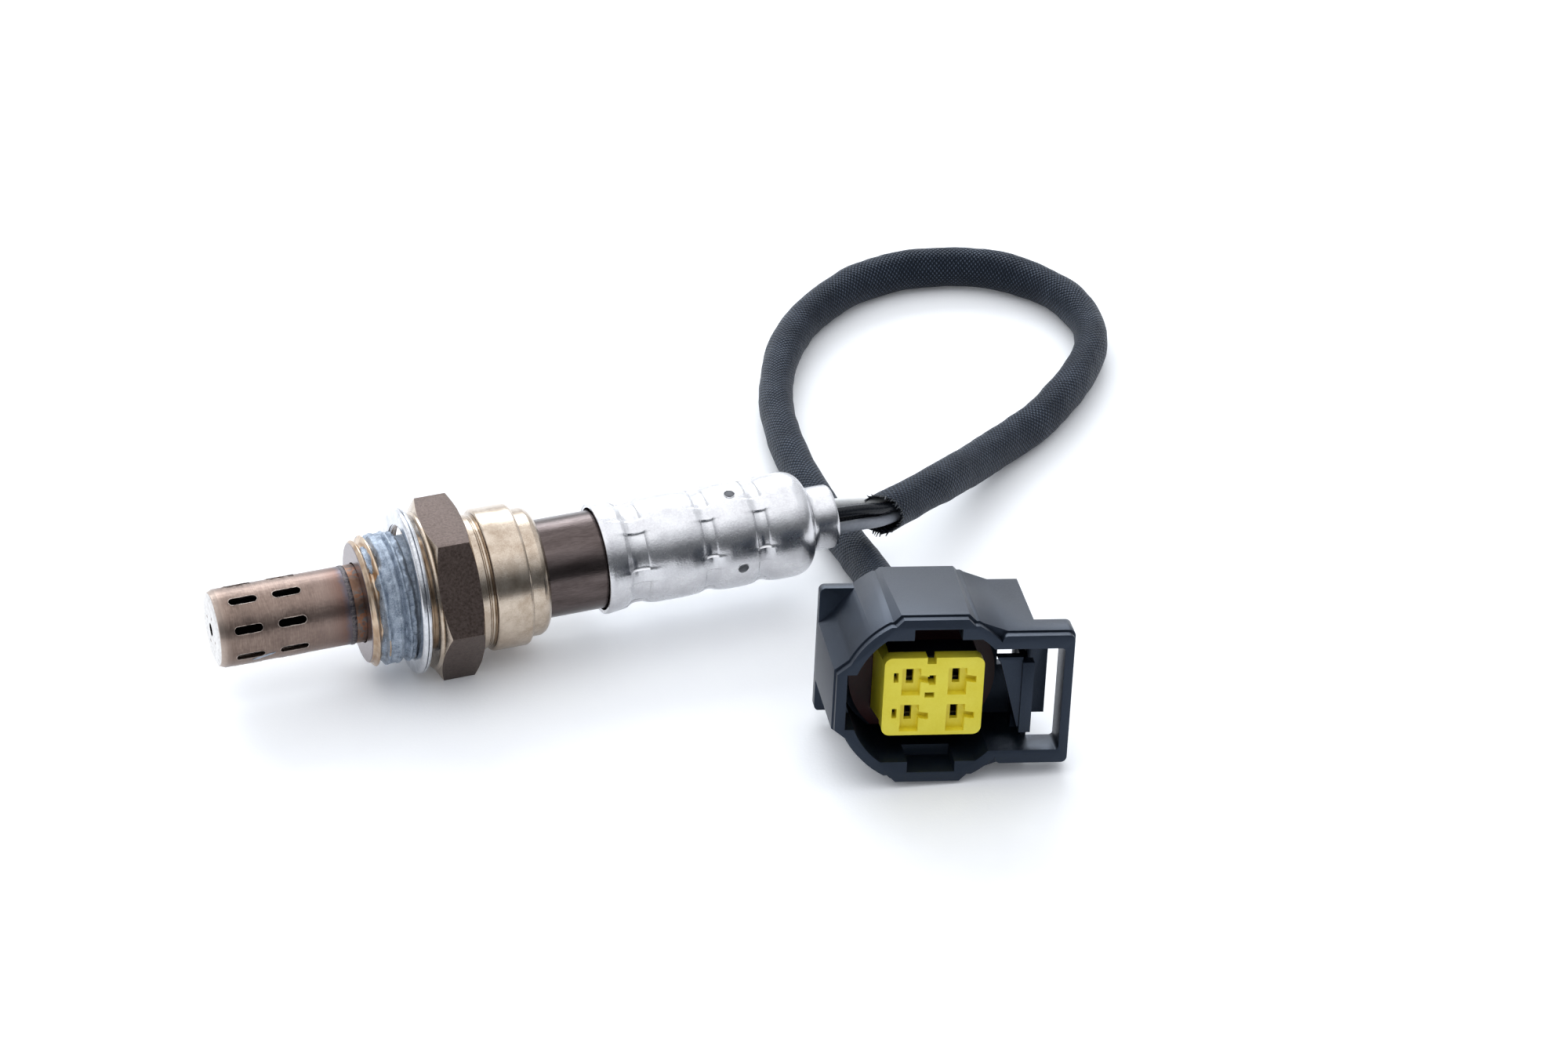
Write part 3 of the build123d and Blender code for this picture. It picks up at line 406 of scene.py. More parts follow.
@dataclass(frozen=True)
class HeatTint(Finish):
    """Deep-drawn stainless, turned bright at its cap: brushed brown skin, blue and straw oxide toward the weld."""

    cap_s: float = -29.45  # the cap's face lies before this station
    dimple_ring: float = 2.35
    dimple_r: float = 0.22
    hole_r: float = 0.92  # radius of the cap's centre hole, whose wall is painted near-black as shade

    def dimples(self, t: Tree, y: Link, up: Link, radius: Link) -> Link:
        """1 in the four small marks of the drawing punch on the cap, else 0."""
        turn = add(t, "MULTIPLY_ADD", (add(t, "ARCTAN2", (up, y)), 2 / math.pi, 4.3))
        around = add(t, "SUBTRACT", (add(t, "FRACT", (turn,)), 0.5))
        arc = add(t, "MULTIPLY", (around, self.dimple_ring * math.pi / 2))
        off = add(t, "SUBTRACT", (radius, self.dimple_ring))
        near = add(t, VECTOR, (add(t, COMBINE, (off, arc)),), "Value", operation="LENGTH")
        return add(t, RAMP, (near,), stops=((self.dimple_r * 0.7, 1.0), (self.dimple_r * 1.3, 0.0)))

    def build(self) -> Material:
        """Brushed sheet whose tint follows the station, with a bright cap."""
        made, t = blank(self.name)
        where = in_mm(t)
        x, y, z = (add(t, SEPARATE, (where,), k) for k in range(3))
        wander = add(t, NOISE, {"Vector": where, "Scale": 1 / 3.5, "Detail": 3.0})
        fine = add(t, NOISE, {"Vector": where, "Scale": 1 / 0.5, "Detail": 3.0})
        brush = in_mm(t, stretch=(1, 14, 14))  # 0.12 mm strokes round the sheet, from the turning of the draw
        strokes = add(t, NOISE, {"Vector": brush, "Scale": 1 / 0.12, "Detail": 3.0})
        mixed = add(t, "MULTIPLY_ADD", (fine, 0.25, add(t, "MULTIPLY", (wander, 0.4))))
        tone = add(t, "MULTIPLY_ADD", (strokes, 0.35, mixed))
        skin = add(t, RAMP, (tone,), stops=((0.34, "#574B46"), (0.5, "#7E6D64"), (0.66, "#A08F84")))
        noisy = add(t, "ADD", (wander, fine))
        station = add(t, "MULTIPLY_ADD", (noisy, 0.8, add(t, "SUBTRACT", (x, X_HEX - 28.9))))
        along = add(t, "DIVIDE", (station, 21.0))
        tint = add(
            t, RAMP, (along,),
            stops=(
                (0.0, "#BFB0A5"), (0.08, "#8C7A6F"), (0.72, "#8A776F"), (0.83, "#735A52"),
                (0.87, "#59565F"), (0.905, "#7A5A46"), (0.94, "#6D5448"), (0.97, "#54454A"),
            ),
        )
        film = add(t, NOISE, {"Vector": where, "Scale": 1 / 1.5, "Detail": 2.5, "Roughness": 0.5})
        bands = ((0.38, "#6B5242"), (0.46, "#7C6254"), (0.52, "#61686A"), (0.57, "#94603F"), (0.66, "#5E5450"))
        oil = add(t, RAMP, (film,), stops=bands)
        late = add(t, RAMP, (along,), stops=((0.88, 0.0), (0.93, 0.75)))
        tinted = add(t, MIX, {0: late, 6: tint, 7: oil}, 2, data_type="RGBA")
        share = add(t, RAMP, (along,), stops=((0.0, 0.9), (0.1, 0.3), (0.6, 0.35), (0.84, 0.9)))
        body = add(t, MIX, {0: share, 6: skin, 7: tinted}, 2, data_type="RGBA")
        cap = add(t, "LESS_THAN", (x, X_HEX + self.cap_s))
        up = add(t, "SUBTRACT", (z, AXIS_Z))
        radius = add(t, VECTOR, (add(t, COMBINE, (y, up)),), "Value", operation="LENGTH")
        marks = add(t, "MULTIPLY", (cap, self.dimples(t, y, up, radius)))
        bright = add(t, RAMP, (fine,), stops=((0.3, "#D5D2CF"), (0.6, "#EDEBE9")))
        faced = add(t, MIX, {0: cap, 6: body, 7: bright}, 2, data_type="RGBA")
        spotted = add(t, MIX, {0: marks, 6: faced, 7: "#6A4A38"}, 2, data_type="RGBA")
        # Painted shade: the wall of the cap's centre hole is coloured near-black.
        bore = add(t, "LESS_THAN", (radius, self.hole_r))
        colour = add(t, MIX, {0: bore, 6: spotted, 7: "#0E0B0A"}, 2, data_type="RGBA")
        rough = add(t, "MULTIPLY_ADD", (tone, 0.3, 0.22))
        gloss = add(t, "MULTIPLY_ADD", (cap, 0.2, rough))
        sunk = add(t, "MULTIPLY", (marks, -1.0))
        reliefs = [(strokes, 0.01), (fine, 0.025), (sunk, 0.12)]
        surfaced(t, reliefs, {"Base Color": colour, "Roughness": gloss, "Metallic": 1.0})
        return made


@dataclass(frozen=True)
class PastedThread(Finish):
    """Nickel-plated steel under anti-seize paste, which is grease full of aluminium flakes of about 0.1 mm."""

    face_s: float = -9.22  # the faced end lies before this station: pinkish grey with fine pits

    def build(self) -> Material:
        """Plating and paste, mixed by the mesh's paste attribute."""
        made, t = blank(self.name)
        where = in_mm(t)
        film = add(t, "ShaderNodeAttribute", output="Fac", attribute_name="paste")
        crumb = add(t, NOISE, {"Vector": where, "Scale": 1 / 0.25, "Detail": 2.0})
        edge = add(t, "MULTIPLY_ADD", (crumb, 0.3, add(t, "SUBTRACT", (film, 0.15))))
        paste = add(t, RAMP, (edge,), stops=((0.42, 0.0), (0.56, 1.0)))
        cloud = add(t, NOISE, {"Vector": where, "Scale": 1 / 1.3, "Detail": 4.0, "Roughness": 0.62})
        speck = add(t, NOISE, {"Vector": where, "Scale": 1 / 0.16, "Detail": 2.0})
        shade = add(t, "MULTIPLY_ADD", (speck, 0.4, add(t, "MULTIPLY", (cloud, 0.6))))
        grey = add(t, RAMP, (shade,), stops=((0.34, "#5A6471"), (0.46, "#8F9BAB"), (0.6, "#B2BDCA"), (0.74, "#E4EAF0")))
        worn = add(t, NOISE, {"Vector": where, "Scale": 1 / 1.6, "Detail": 4.0})
        metal = add(t, RAMP, (worn,), stops=((0.35, "#A98F77"), (0.62, "#CBB7A0")))
        x = add(t, SEPARATE, (where,))
        face = add(t, "LESS_THAN", (x, X_HEX + self.face_s))
        pits = add(t, RAMP, (crumb,), stops=((0.3, "#54494B"), (0.42, "#857A7C")))
        bare = add(t, MIX, {0: face, 6: metal, 7: pits}, 2, data_type="RGBA")
        colour = add(t, MIX, {0: paste, 6: bare, 7: grey}, 2, data_type="RGBA")
        flakes = add(t, "ShaderNodeTexVoronoi", {"Vector": where, "Scale": 1 / 0.13}, feature="F1")
        glint = add(t, RAMP, (flakes,), stops=((0.1, 0.45), (0.5, 1.0)))
        greasy = add(t, "MULTIPLY", (paste, glint))
        gloss = add(t, RAMP, (greasy,), stops=((0.0, 0.28), (0.5, 0.42), (1.0, 0.5)))
        metallic = add(t, RAMP, (paste,), stops=((0.0, 1.0), (1.0, 0.5)))
        stir = add(t, NOISE, {"Vector": where, "Scale": 1 / 0.22, "Detail": 4.0, "Roughness": 0.7})
        swell = add(t, NOISE, {"Vector": where, "Scale": 1 / 0.9, "Detail": 3.0})
        reliefs = [(add(t, "MULTIPLY", (paste, stir)), 0.08), (add(t, "MULTIPLY", (paste, swell)), 0.15)]
        surfaced(t, reliefs, {"Base Color": colour, "Roughness": gloss, "Metallic": metallic})
        return made


@dataclass(frozen=True)
class Moulded(Finish):
    """Moulded or extruded plastic, rubber or ceramic: faint flow clouds under the grain of its tool."""

    light: str
    dark: str
    roughness: float = 0.5
    grain_mm: float = 0.16
    relief_mm: float = 0.02
    ior: float = 1.5
    tint: str = "#FFFFFF"

    def build(self) -> Material:
        """One noise for the clouds and one for the grain."""
        made, t = blank(self.name)
        where = in_mm(t)
        grain = add(t, NOISE, {"Vector": where, "Scale": 1 / self.grain_mm, "Detail": 3.0, "Roughness": 0.6})
        flow = add(t, NOISE, {"Vector": where, "Scale": 1 / 4.0, "Detail": 3.0})
        cloud = add(t, "MULTIPLY", (flow, 0.7))
        tone = add(t, "MULTIPLY_ADD", (grain, 0.3, cloud))
        colour = add(t, RAMP, (tone,), stops=((0.35, self.dark), (0.62, self.light)))
        gloss = add(t, "MULTIPLY_ADD", (grain, 0.2, self.roughness - 0.1))
        inputs = {"Base Color": colour, "Roughness": gloss, "Metallic": 0.0, "IOR": self.ior, "Specular Tint": self.tint}
        surfaced(t, [(grain, self.relief_mm)], inputs)
        return made


@dataclass(frozen=True)
class Braid(Finish):
    """Tubular braid of coated glass yarn: two families of flat yarns that cross over and under each other."""

    yarns: int = 24  # round the sleeve, an even number so that the pattern closes
    round_mm: float = 18.53  # once round the sleeve
    pitch_mm: float = 0.72  # from one float to the next of its row

    def family(self, t: Tree, own: Link, other: Link, side: float) -> Link:
        """Height of one family of yarns.

        Args:
            t: the material's tree.
            own: sine across this family's yarns.
            other: sine across the other family's.
            side: 1 where a positive crossing lies on top, else -1.

        Returns:
            A height from 0 to 1.
        """
        over = add(t, "MULTIPLY", (add(t, "SIGN", (own,)), other))
        lift = add(t, "MULTIPLY_ADD", (over, 0.5 * side, 0.5))
        return add(t, "MULTIPLY", (add(t, "ABSOLUTE", (own,)), lift))

    def build(self) -> Material:
        """Weave from the sleeve's UVs, which are metres around and along."""
        made, t = blank(self.name)
        across, along = (add(t, SEPARATE, (in_mm(t, "UV"),), k) for k in range(2))
        left = add(t, "MULTIPLY", (across, math.pi * self.yarns / self.round_mm))
        sines = []
        for way in (1, -1):
            angle = add(t, "MULTIPLY_ADD", (along, way * math.pi / self.pitch_mm, left))
            sines.append(add(t, "SINE", (angle,)))
        over = self.family(t, sines[0], sines[1], 1)
        under = self.family(t, sines[1], sines[0], -1)
        weave = add(t, "MAXIMUM", (over, under))
        where = in_mm(t)
        fuzz = add(t, NOISE, {"Vector": where, "Scale": 1 / 0.14, "Detail": 2.0})
        cloud = add(t, NOISE, {"Vector": where, "Scale": 1 / 5.0, "Detail": 2.0})
        soft = add(t, "MULTIPLY_ADD", (fuzz, 0.35, add(t, "MULTIPLY", (cloud, 0.25))))
        # Colour follows the weave's height: painted highlight on the crowns of the floats, painted shade in the gaps
        # between yarns.
        tone = add(t, "MULTIPLY_ADD", (weave, 0.5, soft))
        colour = add(t, RAMP, (tone,), stops=((0.3, "#010203"), (0.52, "#080B10"), (0.7, "#1B212B"), (0.84, "#596270")))
        inputs = {"Base Color": colour, "Roughness": 0.5, "Specular Tint": "#C9DEFF", "IOR": 1.4}
        surfaced(t, [(weave, 0.22), (fuzz, 0.03)], inputs)
        return made


class Look(Enum):
    """Every finish of the object: what it is, how it was made, and what that gives the eye."""

    # Stainless tube, drawn, punched and run hot: brown brushed skin that turns blue and straw by the weld, bright cap.
    TIP = HeatTint("stainless_heat_tinted")
    # The same sheet inside, near-black and dull: painted shade for the shroud's inside, seen through the slots.
    INSIDE_SHADE = WorkedMetal("stainless_inside_painted_shade", "#1C1816", "#0C0A09", 0.7, 0.8, 0.15, 0.02)
    # Edges that the punch left on it: bare, bright and a little ragged.
    BURR = WorkedMetal("stainless_punched_edge", "#C4B7AE", "#8F8078", 0.32, 0.6, 0.1, 0.02)
    # Pulsed laser weld: overlapping scales under a thin blue-grey oxide.
    WELD = WorkedMetal("laser_weld_oxide", "#6C6666", "#37353C", 0.4, 0.5, 0.16, 0.05)
    # Nickel-plated steel thread with anti-seize paste on it: warm crests that shine out of a grey, flaky grease.
    PASTE = PastedThread("nickel_thread_antiseize")
    # Turned steel, nickel plated and baked: champagne, satin, with faint clouds.
    CHAMPAGNE = WorkedMetal("nickel_plate_baked", "#C9BBAB", "#A89785", 0.22, 1.8, 0.14, 0.008, (1, 1, 1), 0.08)
    # Cold-drawn hexagon bar with a phosphated skin: dark brown, speckled and dull.
    BROWN = WorkedMetal("phosphated_bar", "#665A55", "#493E39", 0.46, 0.35, 0.12, 0.03)
    # Bright rolled steel strip, folded: light, smooth, with soft streaks.
    WASHER = WorkedMetal("steel_strip_folded", "#DBDCDF", "#B9BBC0", 0.22, 1.4, 0.18, 0.008, (1, 1, 1), 0.1)
    # Drawn stainless tube, browned by heat: dark mirror, drawn out lengthwise.
    TUBE = WorkedMetal("stainless_tube_browned", "#655B59", "#4C4341", 0.24, 1.6, 0.14, 0.008, (6, 1, 1), 0.06)
    # Deep-drawn stainless sheet: bright, with the orange peel of stretched grain, about 0.3 mm.
    COVER = WorkedMetal("stainless_deep_drawn", "#DCDCDE", "#CAC9CC", 0.27, 2.4, 0.28, 0.016, (1, 1, 1), 0.06)
    # Stamped spring steel strip: bare, smooth.
    CONTACT = WorkedMetal("spring_steel_strip", "#C8C4B8", "#97938A", 0.3, 1.0)
    # Stamped brass strip, tinned thin: pale yellow that shows at its edges.
    TERMINAL = WorkedMetal("brass_strip_tinned", "#D8CDA8", "#A89A72", 0.35, 0.8)
    # Sintered and tumbled alumina: off-white, matt.
    CERAMIC = Moulded("alumina_sintered", "#EDEBE4", "#D9D6CC", 0.6, 0.2, 0.01, 1.76)
    # Stretched porous PTFE film: white, dull.
    FILM = Moulded("ptfe_film_porous", "#E6E8EA", "#D2D5D8", 0.7, 0.1, 0.01, 1.35)
    # Glass-filled nylon, moulded in a spark-eroded tool: near-black slate, satin, fine 0.16 mm grain, cold gleam.
    NYLON = Moulded("nylon_glass_filled", "#10161F", "#0A0F16", 0.38, 0.16, 0.02, 1.53, "#C9DEFF")
    # Unfilled nylon, injection moulded in a polished tool: clear yellow, soft gloss.
    YELLOW = Moulded("nylon_yellow", "#F8EA48", "#F0DF30", 0.45, 0.3, 0.006, 1.53)
    # Liquid silicone, moulded: dark red, smooth.
    RED = Moulded("silicone_moulded", "#3C0B10", "#2A070A", 0.45, 0.3, 0.01, 1.41)
    # Fluoro rubber, compression moulded: black, dull.
    RUBBER = Moulded("fluoro_rubber", "#1D1F22", "#121416", 0.6, 0.2, 0.02, 1.4)
    # Extruded PTFE insulation in three colours: smooth, slightly waxy, no grain.
    WHITE_WIRE = Moulded("ptfe_white_extruded", "#F3F3F1", "#DEE0E1", 0.36, 0.3, 0.006, 1.35)
    BLACK_WIRE = Moulded("ptfe_black_extruded", "#1D2026", "#12151A", 0.28, 0.3, 0.006, 1.35)
    GREY_WIRE = Moulded("ptfe_grey_extruded", "#A3A7B0", "#888D96", 0.36, 0.3, 0.006, 1.35)
    # Glass yarn, braided round a mandrel and coated black: small crossing floats, with a painted highlight on their
    # crowns and painted shade between them.
    BRAID = Braid("glass_yarn_braided")
    # The same yarn, cut: loose dark ends.
    YARN = Moulded("glass_yarn_cut", "#2A3038", "#0E1115", 0.5, 0.1, 0.02, 1.5)
    # Cast acrylic sheet, satin: a white that keeps a soft, cool shadow.
    FLOOR = Moulded("acrylic_sheet_satin", "#FCFDFE", "#FAFBFD", 0.6, 0.5, 0.02, 1.49)


_made: dict[Look, Material] = {}


def material(look: Look) -> Material:
    """The material of a finish, made once."""
    if look not in _made:
        _made[look] = look.value.build()
    return _made[look]


# ------------------------------------------------------------------ pieces grown along a rule
def asked(name: str, **sizes: str) -> tuple[Tree, dict[str, Link]]:
    """Makes a Geometry Nodes tree with its inputs and its one output.

    Args:
        name: name of the tree.
        sizes: the end of the socket's type for each input.

    Returns:
        The tree, and the link of each input by name.
    """
    t = bpy.data.node_groups.new(name, "GeometryNodeTree")
    for size, kind in sizes.items():
        t.interface.new_socket(size, in_out="INPUT", socket_type="NodeSocket" + kind)
    t.interface.new_socket("Geometry", in_out="OUTPUT", socket_type="NodeSocketGeometry")
    return t, {size: add(t, "NodeGroupInput", output=size) for size in sizes}


def handed(t: Tree, geometry: Link, look: Link) -> None:
    """Ends a Geometry Nodes tree: instances made real, then the material."""
    real = add(t, "GeometryNodeRealizeInstances", (geometry,))
    add(t, "NodeGroupOutput", (add(t, "GeometryNodeSetMaterial", {"Geometry": real, "Material": look}),))


def ring_points(t: Tree, at: dict[str, Link]) -> tuple[Link, Link]:
    """Points evenly round the sensor's axis, and the rotation that turns Z outward at each.

    Args:
        t: the tree.
        at: its inputs Count, First, Station and Radius, in metres and radians.

    Returns:
        The points and the rotation.
    """
    step = add(t, "DIVIDE", (2 * math.pi, at["Count"]))
    index = add(t, "GeometryNodeInputIndex")
    angle = add(t, "MULTIPLY_ADD", (index, step, at["First"]))
    out = {name: add(t, name, (angle,)) for name in ("COSINE", "SINE")}
    back = add(t, "MULTIPLY", (at["Radius"], -1.0))
    x = add(t, "ADD", (at["Station"], X_HEX * MM))
    y = add(t, "MULTIPLY", (out["COSINE"], back))
    z = add(t, "MULTIPLY_ADD", (out["SINE"], at["Radius"], AXIS_Z * MM))
    points = add(t, "GeometryNodePoints", {"Count": at["Count"], "Position": add(t, COMBINE, (x, y, z))})
    lean = add(t, "SUBTRACT", (math.pi / 2, angle))
    return points, add(t, "FunctionNodeEulerToRotation", (add(t, COMBINE, (lean,)),))


def rims_tree() -> Tree:
    """Tree of the burrs round a ring of punched openings: a bead along each outline, bent to the sheet."""
    t, at = asked(
        "punched_rims", Length="Float", Width="Float", Bead="Float", Ragged="Float", Radius="Float",
        Station="Float", First="Float", Count="Int", Seed="Float", Look="Material",
    )
    half = add(t, "MULTIPLY", (at["Width"], 0.499))
    box = add(t, "GeometryNodeCurvePrimitiveQuadrilateral", {"Width": at["Length"], "Height": at["Width"]})
    round_ends = add(t, "GeometryNodeFilletCurve", {"Curve": box, "Radius": half, "Count": 6}, mode="POLY")
    outline = add(t, "GeometryNodeResampleCurve", {"Curve": round_ends, "Count": 44}, mode="COUNT")
    y = add(t, SEPARATE, (add(t, "GeometryNodeInputPosition"),), 1)
    inner = add(t, "SUBTRACT", (add(t, "POWER", (at["Radius"], 2.0)), add(t, "POWER", (y, 2.0))))
    drop = add(t, "SUBTRACT", (add(t, "SQRT", (inner,)), at["Radius"]))
    bent = add(t, "GeometryNodeSetPosition", {"Geometry": outline, "Offset": add(t, COMBINE, {2: drop})})
    bead = add(t, "GeometryNodeCurvePrimitiveCircle", {"Resolution": 6, "Radius": at["Bead"]})
    rim = add(t, "GeometryNodeCurveToMesh", {"Curve": bent, "Profile Curve": bead})
    points, rotation = ring_points(t, at)
    rims = add(t, INSTANCES, {"Points": points, "Instance": rim, "Rotation": rotation})
    real = add(t, "GeometryNodeRealizeInstances", (rims,))
    here = add(t, "GeometryNodeInputPosition")
    teeth = {"Vector": here, "W": at["Seed"], "Scale": 1 / (0.35 * MM), "Detail": 2.0}
    tear = add(t, NOISE, teeth, 1, noise_dimensions="4D")
    centred = add(t, VECTOR, (tear, (0.5, 0.5, 0.5)), operation="SUBTRACT")
    torn = add(t, VECTOR, {0: centred, "Scale": at["Ragged"]}, operation="SCALE")
    handed(t, add(t, "GeometryNodeSetPosition", {"Geometry": real, "Offset": torn}), at["Look"])
    return t


def weld_tree() -> Tree:
    """Tree of a pulsed weld: flat scales round the axis, each over the last."""
    t, at = asked(
        "weld_scales", Scale="Float", Radius="Float", Station="Float", First="Float", Count="Int", Seed="Int",
        Look="Material",
    )
    spot = add(t, "GeometryNodeMeshUVSphere", {"Segments": 10, "Rings": 5, "Radius": at["Scale"]})
    points, rotation = ring_points(t, at)
    spans = {0: (0.7, 0.9, 0.16), 1: (1.0, 1.2, 0.28), "Seed": at["Seed"]}
    uneven = add(t, RANDOM, spans, data_type="FLOAT_VECTOR")
    handed(t, add(t, INSTANCES, {"Points": points, "Instance": spot, "Rotation": rotation, "Scale": uneven}), at["Look"])
    return t


def yarn_tree() -> Tree:
    """Tree of cut yarn ends: one on each point of a mouth, along its "out" attribute, leaning at random."""
    t, at = asked(
        "cut_yarns", Mouth="Geometry", Length="Float", Thickness="Float", Spread="Vector", Seed="Int", Look="Material"
    )
    thin = add(t, "MULTIPLY", (at["Thickness"], 0.35))
    form = {"Radius Top": thin, "Radius Bottom": at["Thickness"], "Depth": at["Length"]}
    yarn = add(t, "GeometryNodeMeshCone", {"Vertices": 6, "Side Segments": 2, **form})
    out = add(t, "GeometryNodeInputNamedAttribute", {"Name": "out"}, data_type="FLOAT_VECTOR")
    along = add(t, "FunctionNodeAlignRotationToVector", {"Vector": out}, axis="Z")
    less = add(t, VECTOR, {0: at["Spread"], "Scale": -1.0}, operation="SCALE")
    lean = add(t, RANDOM, {0: less, 1: at["Spread"], "Seed": at["Seed"]}, data_type="FLOAT_VECTOR")
    tipped = add(t, "FunctionNodeEulerToRotation", (lean,))
    turned = add(t, "FunctionNodeRotateRotation", (along, tipped), rotation_space="LOCAL")
    spans = {0: (0.7, 0.7, 0.35), 1: (1.2, 1.2, 1.25), "Seed": at["Seed"]}
    uneven = add(t, RANDOM, spans, data_type="FLOAT_VECTOR")
    ends = add(t, INSTANCES, {"Points": at["Mouth"], "Instance": yarn, "Rotation": turned, "Scale": uneven})
    handed(t, ends, at["Look"])
    return t


def grown(tree: Tree, look: Look, values: dict[str, object], base: Optional[Mesh] = None) -> Mesh:
    """Runs a Geometry Nodes tree.

    Args:
        tree: the tree, whose input Look is its material.
        look: the finish.
        values: value of each other input, by name, in metres and radians.
        base: mesh that it grows on, where it takes one.

    Returns:
        The mesh that it makes.
    """
    host = linked("host", base or bpy.data.meshes.new("host"))
    grow = host.modifiers.new("grow", "NODES")
    grow.node_group = tree
    for item in tree.interface.items_tree:
        if item.in_out == "INPUT" and item.name in {**values, "Look": look}:
            grow[item.identifier] = {**values, "Look": material(look)}[item.name]
    return settled(host)


# ------------------------------------------------------------------ studio
@dataclass
class Studio:
    """Pale floor, two softboxes in a white tent, and the camera."""

    camera_mm: tuple[float, float, float] = (-147.493, -559.973, 407.916)
    forward: tuple[float, float, float] = (0.260082, 0.787945, -0.558122)
    lens_mm: float = 117.0
    glow: float = 0.09
    tent: float = 1.1

    def build(self) -> None:
        """Makes the camera first, then the floor, the lights and the surroundings."""
        camera = bpy.data.cameras.new("camera")
        camera.lens, camera.sensor_width, camera.clip_start, camera.clip_end = self.lens_mm, 36.0, 0.01, 20.0
        eye = linked("camera", camera)
        eye.location = Vector(self.camera_mm) * MM
        eye.rotation_euler = Vector(self.forward).to_track_quat("-Z", "Y").to_euler()
        bpy.context.scene.camera = eye
        bpy.context.scene.view_settings.view_transform = "Standard"
        self.floor()
        self.softbox("overhead", (0.0, 0.05, 0.9), (0.02, 0.0, 0.0), (1.2, 1.2), 2.0, (1.0, 1.0, 1.0))
        self.softbox("behind", (0.1, 0.95, 0.62), (0.0, 0.0, 0.0), (1.1, 0.5), 8.0, (0.9, 0.95, 1.0))
        self.surroundings()
        LOG.info("studio made")

    def floor(self) -> None:
        """A wide white sheet. It glows a little for whatever looks at it, as a lit table does, and keeps its shadow."""
        mesh = bpy.data.meshes.new("floor")
        e = 3.0
        mesh.from_pydata([(-e, -e, 0), (e, -e, 0), (e, e, 0), (-e, e, 0)], [], [(0, 1, 2, 3)])
        made = material(Look.FLOOR)
        tree = made.node_tree
        rays = ("Is Camera Ray", "Is Glossy Ray", "Is Transmission Ray")
        seen = [add(tree, "ShaderNodeLightPath", output=name) for name in rays]
        either = add(tree, "MAXIMUM", (seen[0], add(tree, "MAXIMUM", (seen[1], seen[2]))))
        shader = next(node for node in tree.nodes if node.type == "BSDF_PRINCIPLED")
        tree.links.new(add(tree, "MULTIPLY", (either, self.glow)), shader.inputs["Emission Strength"])
        shader.inputs["Emission Color"].default_value = srgb("#F6F9FF")
        mesh.materials.append(made)
        linked("floor", mesh)

    def softbox(
        self, name: str, at: Sequence[float], to: Sequence[float], size: Sequence[float], power: float,
        colour: Sequence[float],
    ) -> None:
        """A rectangular softbox.

        Args:
            name: name of the lamp.
            at: its place in metres.
            to: the point that it faces.
            size: its width and height in metres.
            power: its power in watts.
            colour: linear colour of its light.
        """
        data = bpy.data.lights.new(name, "AREA")
        data.shape, data.size, data.size_y, data.energy, data.color = "RECTANGLE", size[0], size[1], power, colour
        lamp = linked(name, data)
        lamp.location = at
        lamp.rotation_euler = (Vector(to) - Vector(at)).to_track_quat("-Z", "Y").to_euler()

    def surroundings(self) -> None:
        """A white tent, dimmer on the camera's side."""
        world = bpy.data.worlds.new("world")
        bpy.context.scene.world = world
        world.use_nodes = True
        tree = world.node_tree
        tree.nodes.clear()
        y, z = (add(tree, SEPARATE, (add(tree, "ShaderNodeTexCoord", output="Generated"),), k) for k in (1, 2))
        lean = add(tree, "MULTIPLY_ADD", (y, 0.5, z))
        tent = add(tree, RAMP, (lean,), stops=((0.08, "#616468"), (0.5, "#F2F5FA")))
        add(tree, "ShaderNodeOutputWorld", (add(tree, "ShaderNodeBackground", {"Color": tent, "Strength": self.tent}),))


# ------------------------------------------------------------------ lead
@dataclass(frozen=True)
class Wire:
    """One insulated wire of the lead.

    Attributes:
        look: finish of its insulation.
        slot: name of the slot of its finish; not used.
        length: its length in mm; not used.
        lane: 1 on the left of the lead's run, -1 on its right.
        level: 1 in the upper pair, -1 in the lower.
        start: its first points, inside the sensor.
        end: its last points, inside the socket.
        carries: pieces that hang on its far end; not used.
    """

    look: Look
    slot: str
    length: float
    lane: int
    level: int
    start: Profile
    end: Profile
    carries: tuple[str, ...]


